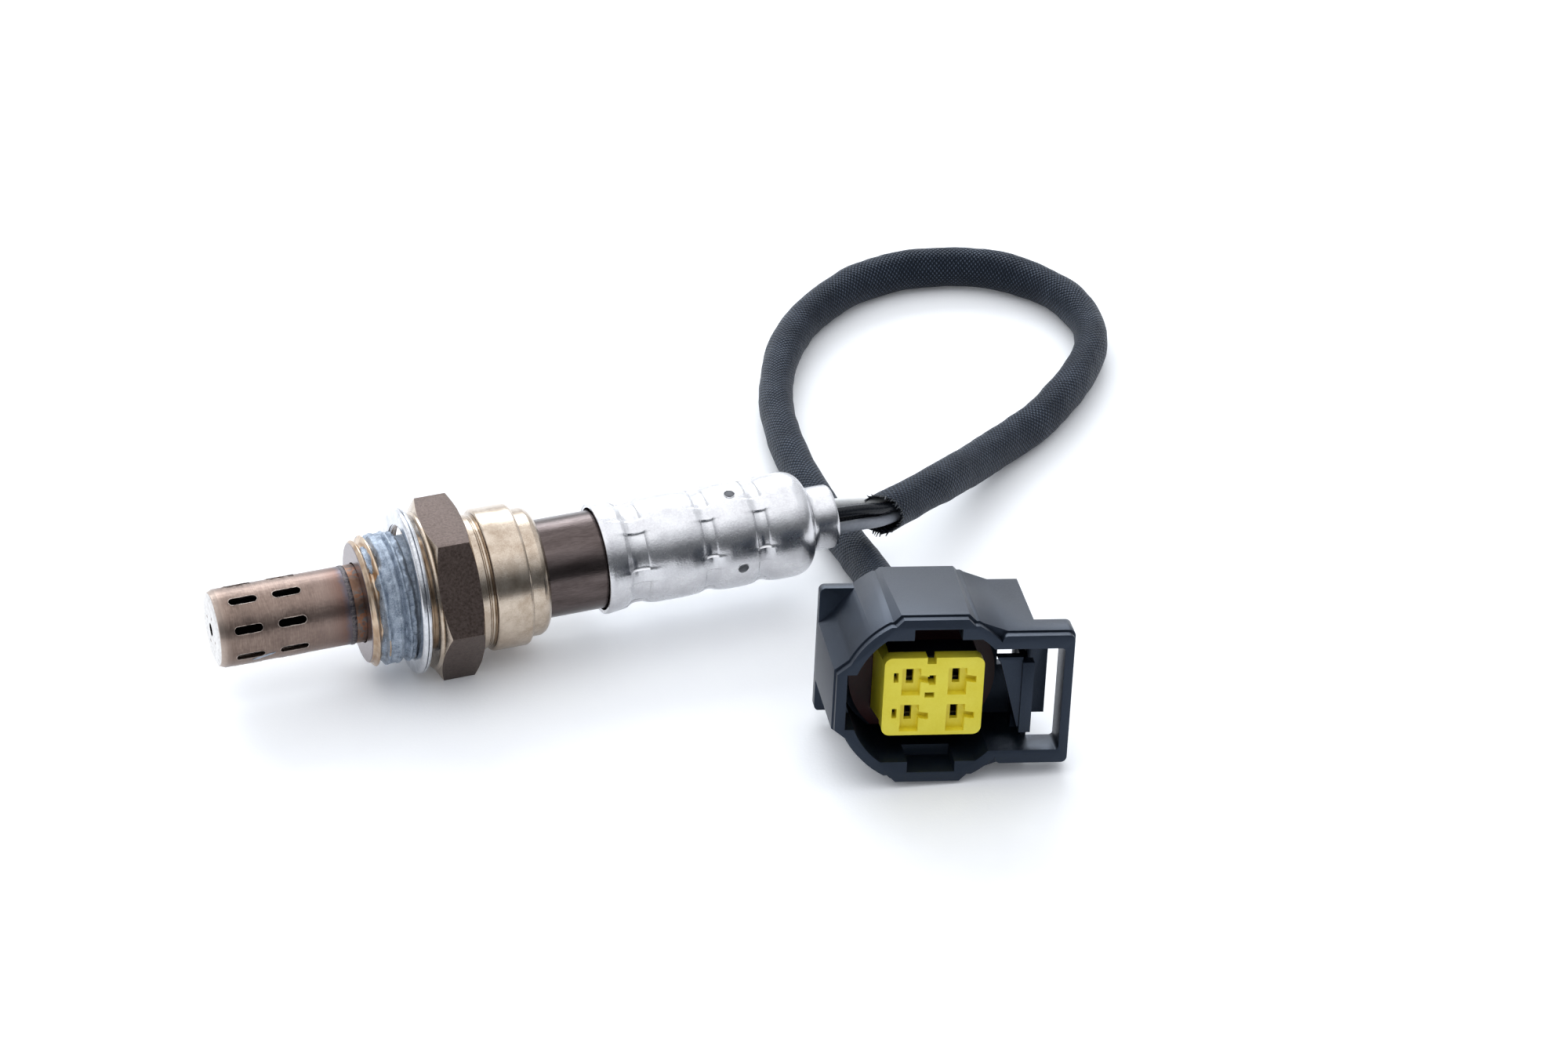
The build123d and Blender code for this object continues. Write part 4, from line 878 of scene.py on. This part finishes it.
@dataclass
class Lead:
    """Four insulated wires and the braided sleeve round them, laid in a loop to the socket."""

    wire_mm: float = 1.6
    spread_mm: float = 0.9  # of each wire from the run, sideways and in height
    sleeve_mm: tuple[float, float] = (5.3, 6.5)
    wall_mm: float = 0.3
    steps: int = 56  # points round the sleeve
    spacing_mm: float = 0.45  # of its rings
    slant_mm: float = 3.6  # that the cut at the sensor leans back
    slant_turn: float = -0.25  # where round the sleeve it lies farthest back, from level toward up
    overhang_mm: float = 2.0  # that the far lip stands before the route's start
    run: Profile = (
        (51.9, 0.2, 9.6), (61.8, 6.6, 8.0), (75.2, 18.7, 3.3), (89.0, 27.8, 3.3), (103.5, 45.4, 3.3), (98.2, 65.9, 3.3),
        (78.5, 73.6, 3.3), (60.4, 63.6, 3.3), (49.3, 43.8, 3.3), (46.6, 19.0, 3.3), (49.0, -7.6, 3.3), (46.7, -22.9, 7.8),
    )
    wires: dict[str, Wire] = field(
        default_factory=lambda: {
            "white_wire": Wire(
                Look.WHITE_WIRE, "white_insulation", 261.2, 1, 1, ((18.8, 1.56, 12.17), (47.3, 1.56, 12.17)),
                ((49.31, -28.96, 11.5), (47.81, -37.11, 12.89)), ("housing", "rear_cover", "wire_seals"),
            ),
            "black_wire_a": Wire(
                Look.BLACK_WIRE, "black_insulation", 269.5, -1, 1, ((18.8, -1.17, 12.56), (47.3, -1.17, 12.56)),
                ((43.24, -27.78, 11.93), (41.74, -35.92, 13.31)), ("interface_seal",),
            ),
            "black_wire_b": Wire(
                Look.BLACK_WIRE, "black_insulation", 261.1, 1, -1, ((18.8, 1.17, 9.44), (47.3, 1.17, 9.44)),
                ((48.79, -29.75, 6.29), (47.29, -37.9, 7.67)), ("terminal_lock",),
            ),
            "grey_wire": Wire(
                Look.GREY_WIRE, "grey_insulation", 269.4, -1, -1, ((18.8, -1.56, 9.83), (47.3, -1.56, 9.83)),
                ((42.72, -28.57, 6.71), (41.22, -36.72, 8.1)), ("socket_terminals",),
            ),
        }
    )

    def beside(self, lane: int, level: int) -> Profile:
        """The run moved sideways and in height, mitred at its corners so that a lane keeps its distance."""
        flat = np.array(self.run)[:, :2]
        legs = np.diff(flat, axis=0)
        legs /= np.linalg.norm(legs, axis=1)[:, None]
        along = (np.vstack([legs[:1], legs]) + np.vstack([legs, legs[-1:]])) / 2
        side = np.stack([-along[:, 1], along[:, 0]], -1) / (along**2).sum(axis=1)[:, None]
        moved = np.round(flat + lane * self.spread_mm * side, 2)
        return tuple((x, y, z + level * self.spread_mm) for (x, y), (_, _, z) in zip(moved.tolist(), self.run))

    @staticmethod
    def spline(name: str, points: Profile, bevel_mm: float = 0.0) -> Object:
        """A smooth NURBS curve whose control points are the route's, in mm."""
        data = bpy.data.curves.new(name, "CURVE")
        data.dimensions = "3D"
        line = data.splines.new("NURBS")
        line.points.add(len(points) - 1)
        for point, co in zip(line.points, points):
            point.co = (co[0] * MM, co[1] * MM, co[2] * MM, 1)
        line.order_u = 3
        line.use_endpoint_u = True
        line.resolution_u = 12
        data.bevel_depth = bevel_mm * MM
        data.bevel_resolution = 4
        data.use_fill_caps = bevel_mm > 0
        return linked(name, data)

    def build(self) -> None:
        """Makes the wires as curves and the sleeve as a tube along its own spline."""
        for name, wire in self.wires.items():
            points = (*wire.start, *self.beside(wire.lane, wire.level), *wire.end)
            lead = self.spline(name + "_lead", points, self.wire_mm / 2)
            lead.data.materials.append(material(wire.look))
            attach(lead, "root")
            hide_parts(name)
            LOG.info("%s laid", lead.name)
        self.sleeve()

    def path(self) -> tuple[Grid, Grid]:
        """The sleeve's middle line at its rings, read from its spline, and the distance along it, both in mm."""
        line = np.array([v.co for v in settled(self.spline("guide", self.run)).vertices]) / MM
        along = np.concatenate([[0], np.cumsum(np.linalg.norm(np.diff(line, axis=0), axis=1))])
        t = np.linspace(0, along[-1], int(along[-1] / self.spacing_mm))
        return np.stack([np.interp(t, along, line[:, k]) for k in range(3)], -1), t

    def sleeve(self) -> None:
        """The braided sleeve: an upright oval tube with soft creases, open at both ends, cut aslant at the sensor."""
        centre, t = self.path()
        tangent = np.gradient(centre, axis=0)
        tangent /= np.linalg.norm(tangent, axis=1)[:, None]
        side = np.stack([tangent[:, 1], -tangent[:, 0], 0 * t], -1)
        side /= np.linalg.norm(side, axis=1)[:, None]
        up = np.cross(side, tangent)
        up *= np.sign(up[:, 2])[:, None]
        a = np.arange(self.steps) * 2 * math.pi / self.steps
        slant = (self.slant_mm * (0.5 + 0.5 * np.cos(a - self.slant_turn)) - self.overhang_mm)[None, :]
        slide = slant * (1 - smooth(0, 9, t))[:, None]
        rings = []
        for wall in (0.0, self.wall_mm):
            w, h = self.sleeve_mm[0] / 2 - wall, self.sleeve_mm[1] / 2 - wall
            out = (w * np.cos(a))[None, :, None] * side[:, None, :] + (h * np.sin(a))[None, :, None] * up[:, None, :]
            rings.append(out)
        skin = centre[:, None, :] + rings[0]
        lumps = fractal(skin, 9.0, 2, 3.1) * 0.22 + fractal(skin, 2.2, 2, 8.2) * 0.07
        scale = np.minimum(1 + (lumps - 0.1) / np.linalg.norm(rings[0], axis=2), 1.02)[:, :, None]
        rings = [centre[:, None, :] + slide[:, :, None] * tangent[:, None, :] + out * scale for out in rings]
        for ring in rings:
            ring[:, :, 2] = np.maximum(ring[:, :, 2], 0.03)
        length = np.concatenate([t, t[::-1], [0.0]])
        width = math.pi * sum(self.sleeve_mm) / 2 / self.steps
        mesh = tube(np.concatenate([rings[0], rings[1][::-1]]) * MM, length, width)
        sleeve = finished("sleeve_braid", mesh, Look.BRAID, 60, "braided_sleeve")
        self.cut_ends(rings, tangent)

    def cut_ends(self, rings: list[Grid], tangent: Grid) -> None:
        """Frays both mouths of the sleeve.

        Args:
            rings: outer and inner rings of the sleeve in mm.
            tangent: direction of the lead at each ring.
        """
        tree = yarn_tree()
        for name, end, way in (("yarn_ends_sensor", 0, -1), ("yarn_ends_socket", -1, 1)):
            mouth = bpy.data.meshes.new(name)
            points = (rings[0][end] * 0.6 + rings[1][end] * 0.4) * MM
            mouth.from_pydata(points.tolist(), [], [])
            out = np.tile(tangent[end] * way, (len(points), 1)).astype(np.float32)
            mouth.attributes.new("out", "FLOAT_VECTOR", "POINT").data.foreach_set("vector", out.reshape(-1))
            values = {"Length": 0.7 * MM, "Thickness": 0.19 * MM, "Spread": (0.6, 0.6, 0.0), "Seed": 4 + end}
            finished(name, grown(tree, Look.YARN, values, mouth), Look.YARN, 60)


# ------------------------------------------------------------------ sensor
@dataclass
class Nose:
    """The threaded nose with its paste, from the nose face to the hexagon."""

    face: float = -9.3  # station of the nose face
    pitch: float = 1.5
    crest: float = 9.0
    depth: float = 0.92
    shroud_r: float = 5.4
    shroud_weld: float = -11.0

    def thread(self, s: Grid, phi: Grid, r: Grid) -> Grid:
        """Radius of the right-hand thread, without paste."""
        phase = ((s - self.face) / self.pitch + phi / 360.0) % 1.0
        tooth = np.clip((np.abs(phase - 0.5) - 0.07) / 0.30, 0, 1)
        fade = smooth(-9.2, -8.4, s) * (1 - smooth(-3.6, -3.1, s))
        return np.where(r > 7.9, r - self.depth * tooth * fade * (r > 8.3), r)

    def pasted(self, s: Grid, phi: Grid, r: Grid) -> tuple[Grid, Grid]:
        """Radius with the paste on, and how far the paste stands over the metal, in mm."""
        bare = self.thread(s, phi, r)
        a = np.radians(phi)
        points = np.stack([s, self.crest * np.cos(a), self.crest * np.sin(a)], -1)
        big, small = fractal(points, 4.0, 2, 1.7), fractal(points, 1.0, 2, 5.1)
        bank = smooth(-7.2, -6.5, s + 0.6 * big) * (1 - smooth(-5.2, -4.6, s + 0.6 * big))
        bank = np.maximum(bank, smooth(-4.3, -3.9, s + 0.5 * big) * (1 - smooth(-3.3, -2.8, s)) * (0.7 + 0.5 * small))
        fill = 8.36 + 0.62 * bank + 0.10 * big + 0.07 * small
        clear = smooth(35, 60, phi) * (1 - smooth(110, 140, phi))
        fill -= 1.0 * smooth(-3.6, -2.6, s) * clear
        paste = np.maximum(fill, bare + 0.1 + 0.03 * small)
        high = smooth(48, 66, phi) * (1 - smooth(104, 130, phi))  # where the first turns were wiped
        start = -7.75 + 0.95 * high
        cover = smooth(-0.2, 0.2, s + 0.35 * big - start)
        patch = 1 - ((s + 8.05 + 0.004 * (phi - 80)) / 0.42) ** 2 - ((phi - 80) / 21) ** 2 + 0.25 * small
        cover = np.maximum(cover, smooth(0.0, 0.35, patch))
        crest = np.exp(-(((((s - self.face) / self.pitch + phi / 360.0) % 1.0 - 0.5) / 0.09) ** 2))
        wiped = smooth(-0.15, 0.1, big + 0.3 * clear) * (1 - smooth(-6.6, -5.9, s)) * smooth(40, 66, phi)
        cover *= 1 - np.clip(crest * wiped, 0, 1)
        height = np.where(r > 7.9, (paste - bare) * cover, 0)
        height *= s < -1.2
        return bare + np.maximum(height, 0), height

    def build(self) -> None:
        """Makes the nose as one turned piece whose radius follows thread and paste."""
        outline = rounded(
            [
                (self.face, 5.55), (self.face, 8.2), (-8.55, 9.0), (-3.4, 9.0), (-3.1, 8.0), (-0.4, 8.0), (-0.4, 6.0),
                (-6.8, 6.0), (-6.8, 5.55),
            ],
            0.12,
        )
        mesh = lathe(
            divided(outline, 0.11),
            240,
            lambda s, phi, r: self.pasted(s, phi, r)[0],
            masks={"paste": lambda s, phi, r: smooth(0.0, 0.08, self.pasted(s, phi, r)[1])},
        )
        finished("threaded_nose", mesh, Look.PASTE, 60, "shell")
        self.weld()
        self.smear()

    def weld(self) -> None:
        """The weld between shroud and nose: a low bead under a ring of scales."""
        outline = [(-11.4, 5.2), (-11.4, 5.38), (-11.2, 5.47), (-10.8, 5.47), (-10.6, 5.38), (-10.6, 5.2)]
        finished("weld_bead", lathe(rounded(outline, 0.08), 160), Look.WELD, 60)
        values = {
            "Scale": 0.42 * MM, "Radius": self.shroud_r * MM, "Station": self.shroud_weld * MM, "First": 0.0,
            "Count": 78, "Seed": 3,
        }
        finished("weld_scales", grown(weld_tree(), Look.WELD, values), Look.WELD, 60)

    def smear(self) -> None:
        """A streak of paste that a finger left on the shroud, below the first slots."""
        s = np.linspace(-25.4, -21.9, 46)[:, None] * np.ones((1, 20))
        v = np.linspace(-1, 1, 20)[None, :] * np.ones((46, 1))
        width = 2.6 * smooth(-25.5, -24.4, s) * (1 - smooth(-23.3, -21.8, s)) + 0.15
        phi = -32.6 + (s + 25.4) * 3.2 + v * width
        a = np.radians(phi)
        rough = fractal(np.stack([s, self.shroud_r * np.cos(a), self.shroud_r * np.sin(a)], -1), 0.6, 3, 4.4)
        inside = smooth(0, 0.35, 1 - np.abs(v)) * smooth(0, 0.3, s + 25.4) * smooth(0, 0.3, -21.9 - s)
        top = 5.36 + inside * (0.10 + 0.06 * rough)
        r = np.concatenate([top, np.full_like(top, 5.32)], axis=1)
        s, a = np.concatenate([s, s[:, ::-1]], axis=1), np.concatenate([a, a[:, ::-1]], axis=1)
        rings = np.stack([X_HEX + s, -r * np.cos(a), AXIS_Z + r * np.sin(a)], -1) * MM
        mesh = tube(rings, s[:, 0] - s[0, 0], 0.03, capped=True)
        mesh.attributes.new("paste", "FLOAT", "POINT").data.foreach_set("value", np.ones(len(mesh.vertices), np.float32))
        finished("paste_smear", mesh, Look.PASTE, 60)


@dataclass
class Shroud:
    """What the punch left on the shroud: a burr round each of its sixteen slots."""

    slot_mm: tuple[float, float] = (4.0, 1.2)
    radius: float = 5.4
    first: float = 26.0
    rows: tuple[float, ...] = (-25.45, -19.4)

    def build(self) -> None:
        """Grows the burrs, one piece for each row of eight slots."""
        tree = rims_tree()
        for number, row in enumerate(self.rows):
            values = {
                "Length": self.slot_mm[0] * MM, "Width": self.slot_mm[1] * MM, "Bead": 0.055 * MM, "Ragged": 0.16 * MM,
                "Radius": self.radius * MM, "Station": row * MM, "First": math.radians(self.first), "Count": 8,
                "Seed": 2.0 + number,
            }
            finished(f"slot_burrs_{number + 1}", grown(tree, Look.BURR, values), Look.BURR, 60)


@dataclass
class Shell:
    """Hexagon and crimped collar behind it."""

    flats: float = 22.0
    length: float = 5.7
    edge_round: float = 0.11

    def hexagon(self) -> None:
        """The hexagon: a prism cut by its turned chamfers, which are bare, and its edges barely broken."""
        corner = self.flats / math.sqrt(3)
        mesh = lathe([(0, corner), (self.length, corner), (self.length, 7.4), (0, 7.4)], 6)
        seat = self.flats / 2
        cone = lathe(
            [
                (-0.01, 5), (-0.01, seat - 0.05), (0.8, corner + 0.08), (self.length - 0.6, corner + 0.08),
                (self.length + 0.01, seat + 0.15), (self.length + 0.01, 5),
            ],
            256,
        )
        mesh = softened(cut(mesh, cone, "INTERSECT"), self.edge_round, 20)
        finished("hexagon", mesh, Look.BROWN, 25)
        mesh.materials.append(material(Look.CHAMPAGNE))
        for face in mesh.polygons:
            face.material_index = int(0.25 < abs(face.normal.x) < 0.97)

    def build(self) -> None:
        """Makes the hexagon, the seat ring before it and the collar behind it."""
        self.hexagon()
        boss = lathe(rounded([(-0.5, 7.9), (-0.5, 10.7), (-0.25, 11.0), (0.15, 11.0), (0.15, 7.9)], 0.08), 160)
        finished("seat_ring", boss, Look.CHAMPAGNE)
        outline = [
            (5.6, 7.4), (5.6, 9.4), (7.0, 9.4), (7.15, 9.2), (7.3, 9.2), (7.4, 9.0), (7.75, 9.0), (7.85, 9.65),
            (8.15, 9.9), (12.75, 9.9), (13.1, 9.65), (13.12, 8.95), (14.9, 8.92), (15.5, 8.62), (15.95, 8.05),
            (16.1, 7.35), (16.1, 6.9), (13.0, 6.9), (13.0, 7.3), (7.5, 7.3),
        ]
        finished("collar", lathe(rounded(outline, 0.14), 200), Look.CHAMPAGNE, 30)


@dataclass
class Gasket:
    """Folded steel gasket, loose in the undercut and leaning a little."""

    lift: float = 0.5
    tilt: float = 1.6

    def build(self) -> None:
        """Makes the fold: two rims with a groove between them and a lip with captive tongues."""
        outline = [
            (-2.6, 8.55), (-2.95, 9.65), (-2.95, 11.0), (-2.75, 11.35), (-2.4, 11.5), (-2.3, 11.45), (-2.22, 11.1),
            (-2.14, 11.45), (-2.0, 11.5), (-1.7, 11.35), (-1.5, 11.0), (-1.5, 9.4), (-2.2, 9.4), (-2.3, 8.55),
        ]

        def lip(s: Grid, phi: Grid, r: Grid) -> Grid:
            """The bore, wide but for three tongues."""
            tongue = sum(np.exp(-(((phi - at + 180) % 360 - 180) / 7.0) ** 2) for at in (75, 195, 315))
            return np.where(r < 9.2, r + 0.55 * (1 - np.clip(tongue, 0, 1)), r)

        mesh = lathe(divided(rounded(outline, 0.1), 0.4), 180, lip, tilt=self.tilt, lift=self.lift)
        finished("folded_gasket", mesh, Look.WASHER, 35, "gasket")


@dataclass
class Cover:
    """Outer cover: drawn sheet, crimped at three waists by six jaws, with four vents."""

    jaws: int = 6
    jaw_width: float = 43.0
    jaw_middle: float = 34.5
    waists: tuple[tuple[float, float], ...] = ((29.0, 1.35), (39.4, 0.75), (47.0, 0.75))
    vents: int = 4
    vent_r: float = 0.78
    vent_s: float = 43.65
    vent_first: float = 83.0

    def base(self) -> list[tuple[float, float]]:
        """The sheet's closed outline."""
        outer = [
            (24.4, 7.55), (24.45, 7.75), (24.9, 7.8), (26.0, 7.62), (26.9, 7.45), (27.6, 7.3), (28.0, 6.95), (28.6, 6.75),
            (29.5, 6.72), (30.2, 6.85), (30.9, 7.15), (32.0, 7.35), (34.0, 7.42), (36.6, 7.4), (38.0, 7.2), (38.8, 6.85),
            (39.4, 6.72), (40.0, 6.85), (40.8, 7.2), (42.0, 7.4), (43.6, 7.43), (44.8, 7.4), (45.8, 7.2), (46.4, 6.88),
            (47.0, 6.74), (47.6, 6.88), (48.3, 7.2), (49.4, 7.4), (51.0, 7.43), (52.4, 7.4), (53.4, 7.1), (54.2, 6.5),
            (54.7, 5.8), (54.95, 5.0), (55.15, 4.62), (55.6, 4.5), (57.6, 4.5), (58.5, 4.45), (58.85, 4.2),
        ]
        inner = [
            (58.7, 4.02), (54.5, 4.05), (54.3, 5.4), (53.3, 6.5), (52.2, 6.93), (47.0, 6.3), (39.4, 6.3), (36.0, 6.93),
            (29.0, 6.3), (26.5, 6.95), (24.5, 7.2),
        ]
        skin = rounded(outer, 0.5)
        return divided(skin + inner, 0.15, len(skin))

    def crimped(self, s: Grid, phi: Grid, r: Grid) -> Grid:
        """Radius with the jaws' flat prints and the swelling that they leave between them."""
        step = 360.0 / self.jaws
        off = np.abs((phi - self.jaw_middle + step / 2) % step - step / 2)
        inside = 1 - smooth(self.jaw_width / 2 - 0.9, self.jaw_width / 2 + 0.5, off)
        out = r.copy()
        for at, half in self.waists:
            band = 1 - smooth(half, half + 0.14, np.abs(s - at))
            near = np.exp(-(((s - at) / (half + 0.9)) ** 2))
            score = np.exp(-(((np.abs(s - at) - half - 0.1) / 0.12) ** 2)) * inside
            out = np.where(r > 6.6, out + 0.15 * near * (1 - inside) - 0.1 * band * inside - 0.05 * score, out)
        a = np.radians(phi)
        wave = fractal(np.stack([s, 7 * np.cos(a), 7 * np.sin(a)], -1), 6.0, 2, 2.2)
        return np.where((r > 6.6) & (s < 54), out + 0.05 * wave, out)

    def build(self) -> None:
        """Makes the sheet, drills the vents and rims them."""
        bm = bmesh.new()
        for k in range(self.vents):
            phi = self.vent_first - 360 / self.vents * k
            turn = (place(0, 1, phi) - place(0, 0, phi)).to_track_quat("Z", "Y").to_matrix().to_4x4()
            at = Matrix.Translation(place(self.vent_s, 7.2, phi)) @ turn
            r = self.vent_r * MM
            bmesh.ops.create_cone(bm, cap_ends=True, segments=40, radius1=r, radius2=r, depth=3 * MM, matrix=at)
        tools = bpy.data.meshes.new("drills")
        bm.to_mesh(tools)
        bm.free()
        sheet = cut(lathe(self.base(), 240, self.crimped), tools, "DIFFERENCE")
        finished("cover_sheet", sheet, Look.COVER, 35, "outer_cover")
        values = {
            "Length": 2 * self.vent_r * MM, "Width": 1.999 * self.vent_r * MM, "Bead": 0.06 * MM, "Ragged": 0.03 * MM,
            "Radius": 7.42 * MM, "Station": self.vent_s * MM, "First": math.radians(self.vent_first),
            "Count": self.vents, "Seed": 9.0,
        }
        finished("vent_rims", grown(rims_tree(), Look.COVER, values), Look.COVER, 60)


@dataclass
class Socket:
    """Four-way socket: the housing, with a full round on its rim and its other edges barely broken."""

    foot: tuple[float, float, float] = (40.89, -49.8, 0.5146)  # foot of the rim's plane
    inward: tuple[float, float, float] = (0.178043, 0.970082, -0.165048)  # from the rim into the socket
    rim_round: float = 0.42
    edge_round: float = 0.16

    def build(self) -> None:
        """Rounds the rim first, then the rest."""
        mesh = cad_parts["connector_housing"].data.copy()
        bm = bmesh.new()
        bm.from_mesh(mesh)
        bmesh.ops.remove_doubles(bm, verts=bm.verts, dist=1e-6)
        bmesh.ops.dissolve_limit(bm, angle_limit=math.radians(1), verts=bm.verts, edges=bm.edges)
        inward, foot = Vector(self.inward), Vector(self.foot) * MM
        rim = [
            edge for edge in bm.edges
            if len(edge.link_faces) == 2 and edge.calc_face_angle(0) > math.radians(50)
            and all(abs((v.co - foot).dot(inward)) < 0.03 * MM for v in edge.verts)
        ]
        bmesh.ops.bevel(
            bm, geom=rim, offset=self.rim_round * MM, offset_type="OFFSET", segments=3, profile=0.5, affect="EDGES",
            clamp_overlap=True,
        )
        bm.to_mesh(mesh)
        bm.free()
        finished("housing", softened(mesh, self.edge_round, 35), Look.NYLON, 40, "connector_housing")
        LOG.info("rim rounded on %d edges", len(rim))


CAD_LOOKS: dict[Look, tuple[str, ...]] = {
    Look.TIP: ("outer_shroud", "shroud_base"),
    # The inner shroud's near-black is painted shade.
    Look.INSIDE_SHADE: ("inner_shroud",),
    Look.TUBE: ("inner_cover",),
    Look.CERAMIC: ("sensing_element", "packing_bush", "heater_rod", "rear_insulator", "powder_packing"),
    Look.CONTACT: (
        "seat_washer", "crimp_ring", "outer_contact", "inner_contact", "heater_contact_a", "heater_contact_b",
        "insulator_spring", "filter_sleeve",
    ),
    Look.FILM: ("vent_filter",),
    Look.RUBBER: ("grommet",),
    Look.YELLOW: ("terminal_lock",),
    Look.RED: ("interface_seal", "wire_seals"),
    Look.TERMINAL: ("socket_terminals",),
    Look.NYLON: ("rear_cover",),
}


def dress_cad() -> None:
    """Gives each CAD node that stays its finish."""
    for look, names in CAD_LOOKS.items():
        for name in names:
            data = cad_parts[name].data
            data.materials.clear()
            data.materials.append(material(look))
            data.shade_smooth()
            data.set_sharp_from_angle(angle=math.radians(30))
            LOG.info("%s dressed as %s", name, look.value.name)


def main() -> None:
    """Builds the studio and every piece."""
    Studio().build()
    Socket().build()
    Lead().build()
    Nose().build()
    Shroud().build()
    Shell().build()
    Gasket().build()
    Cover().build()
    dress_cad()


if __name__ == "__main__":
    main()
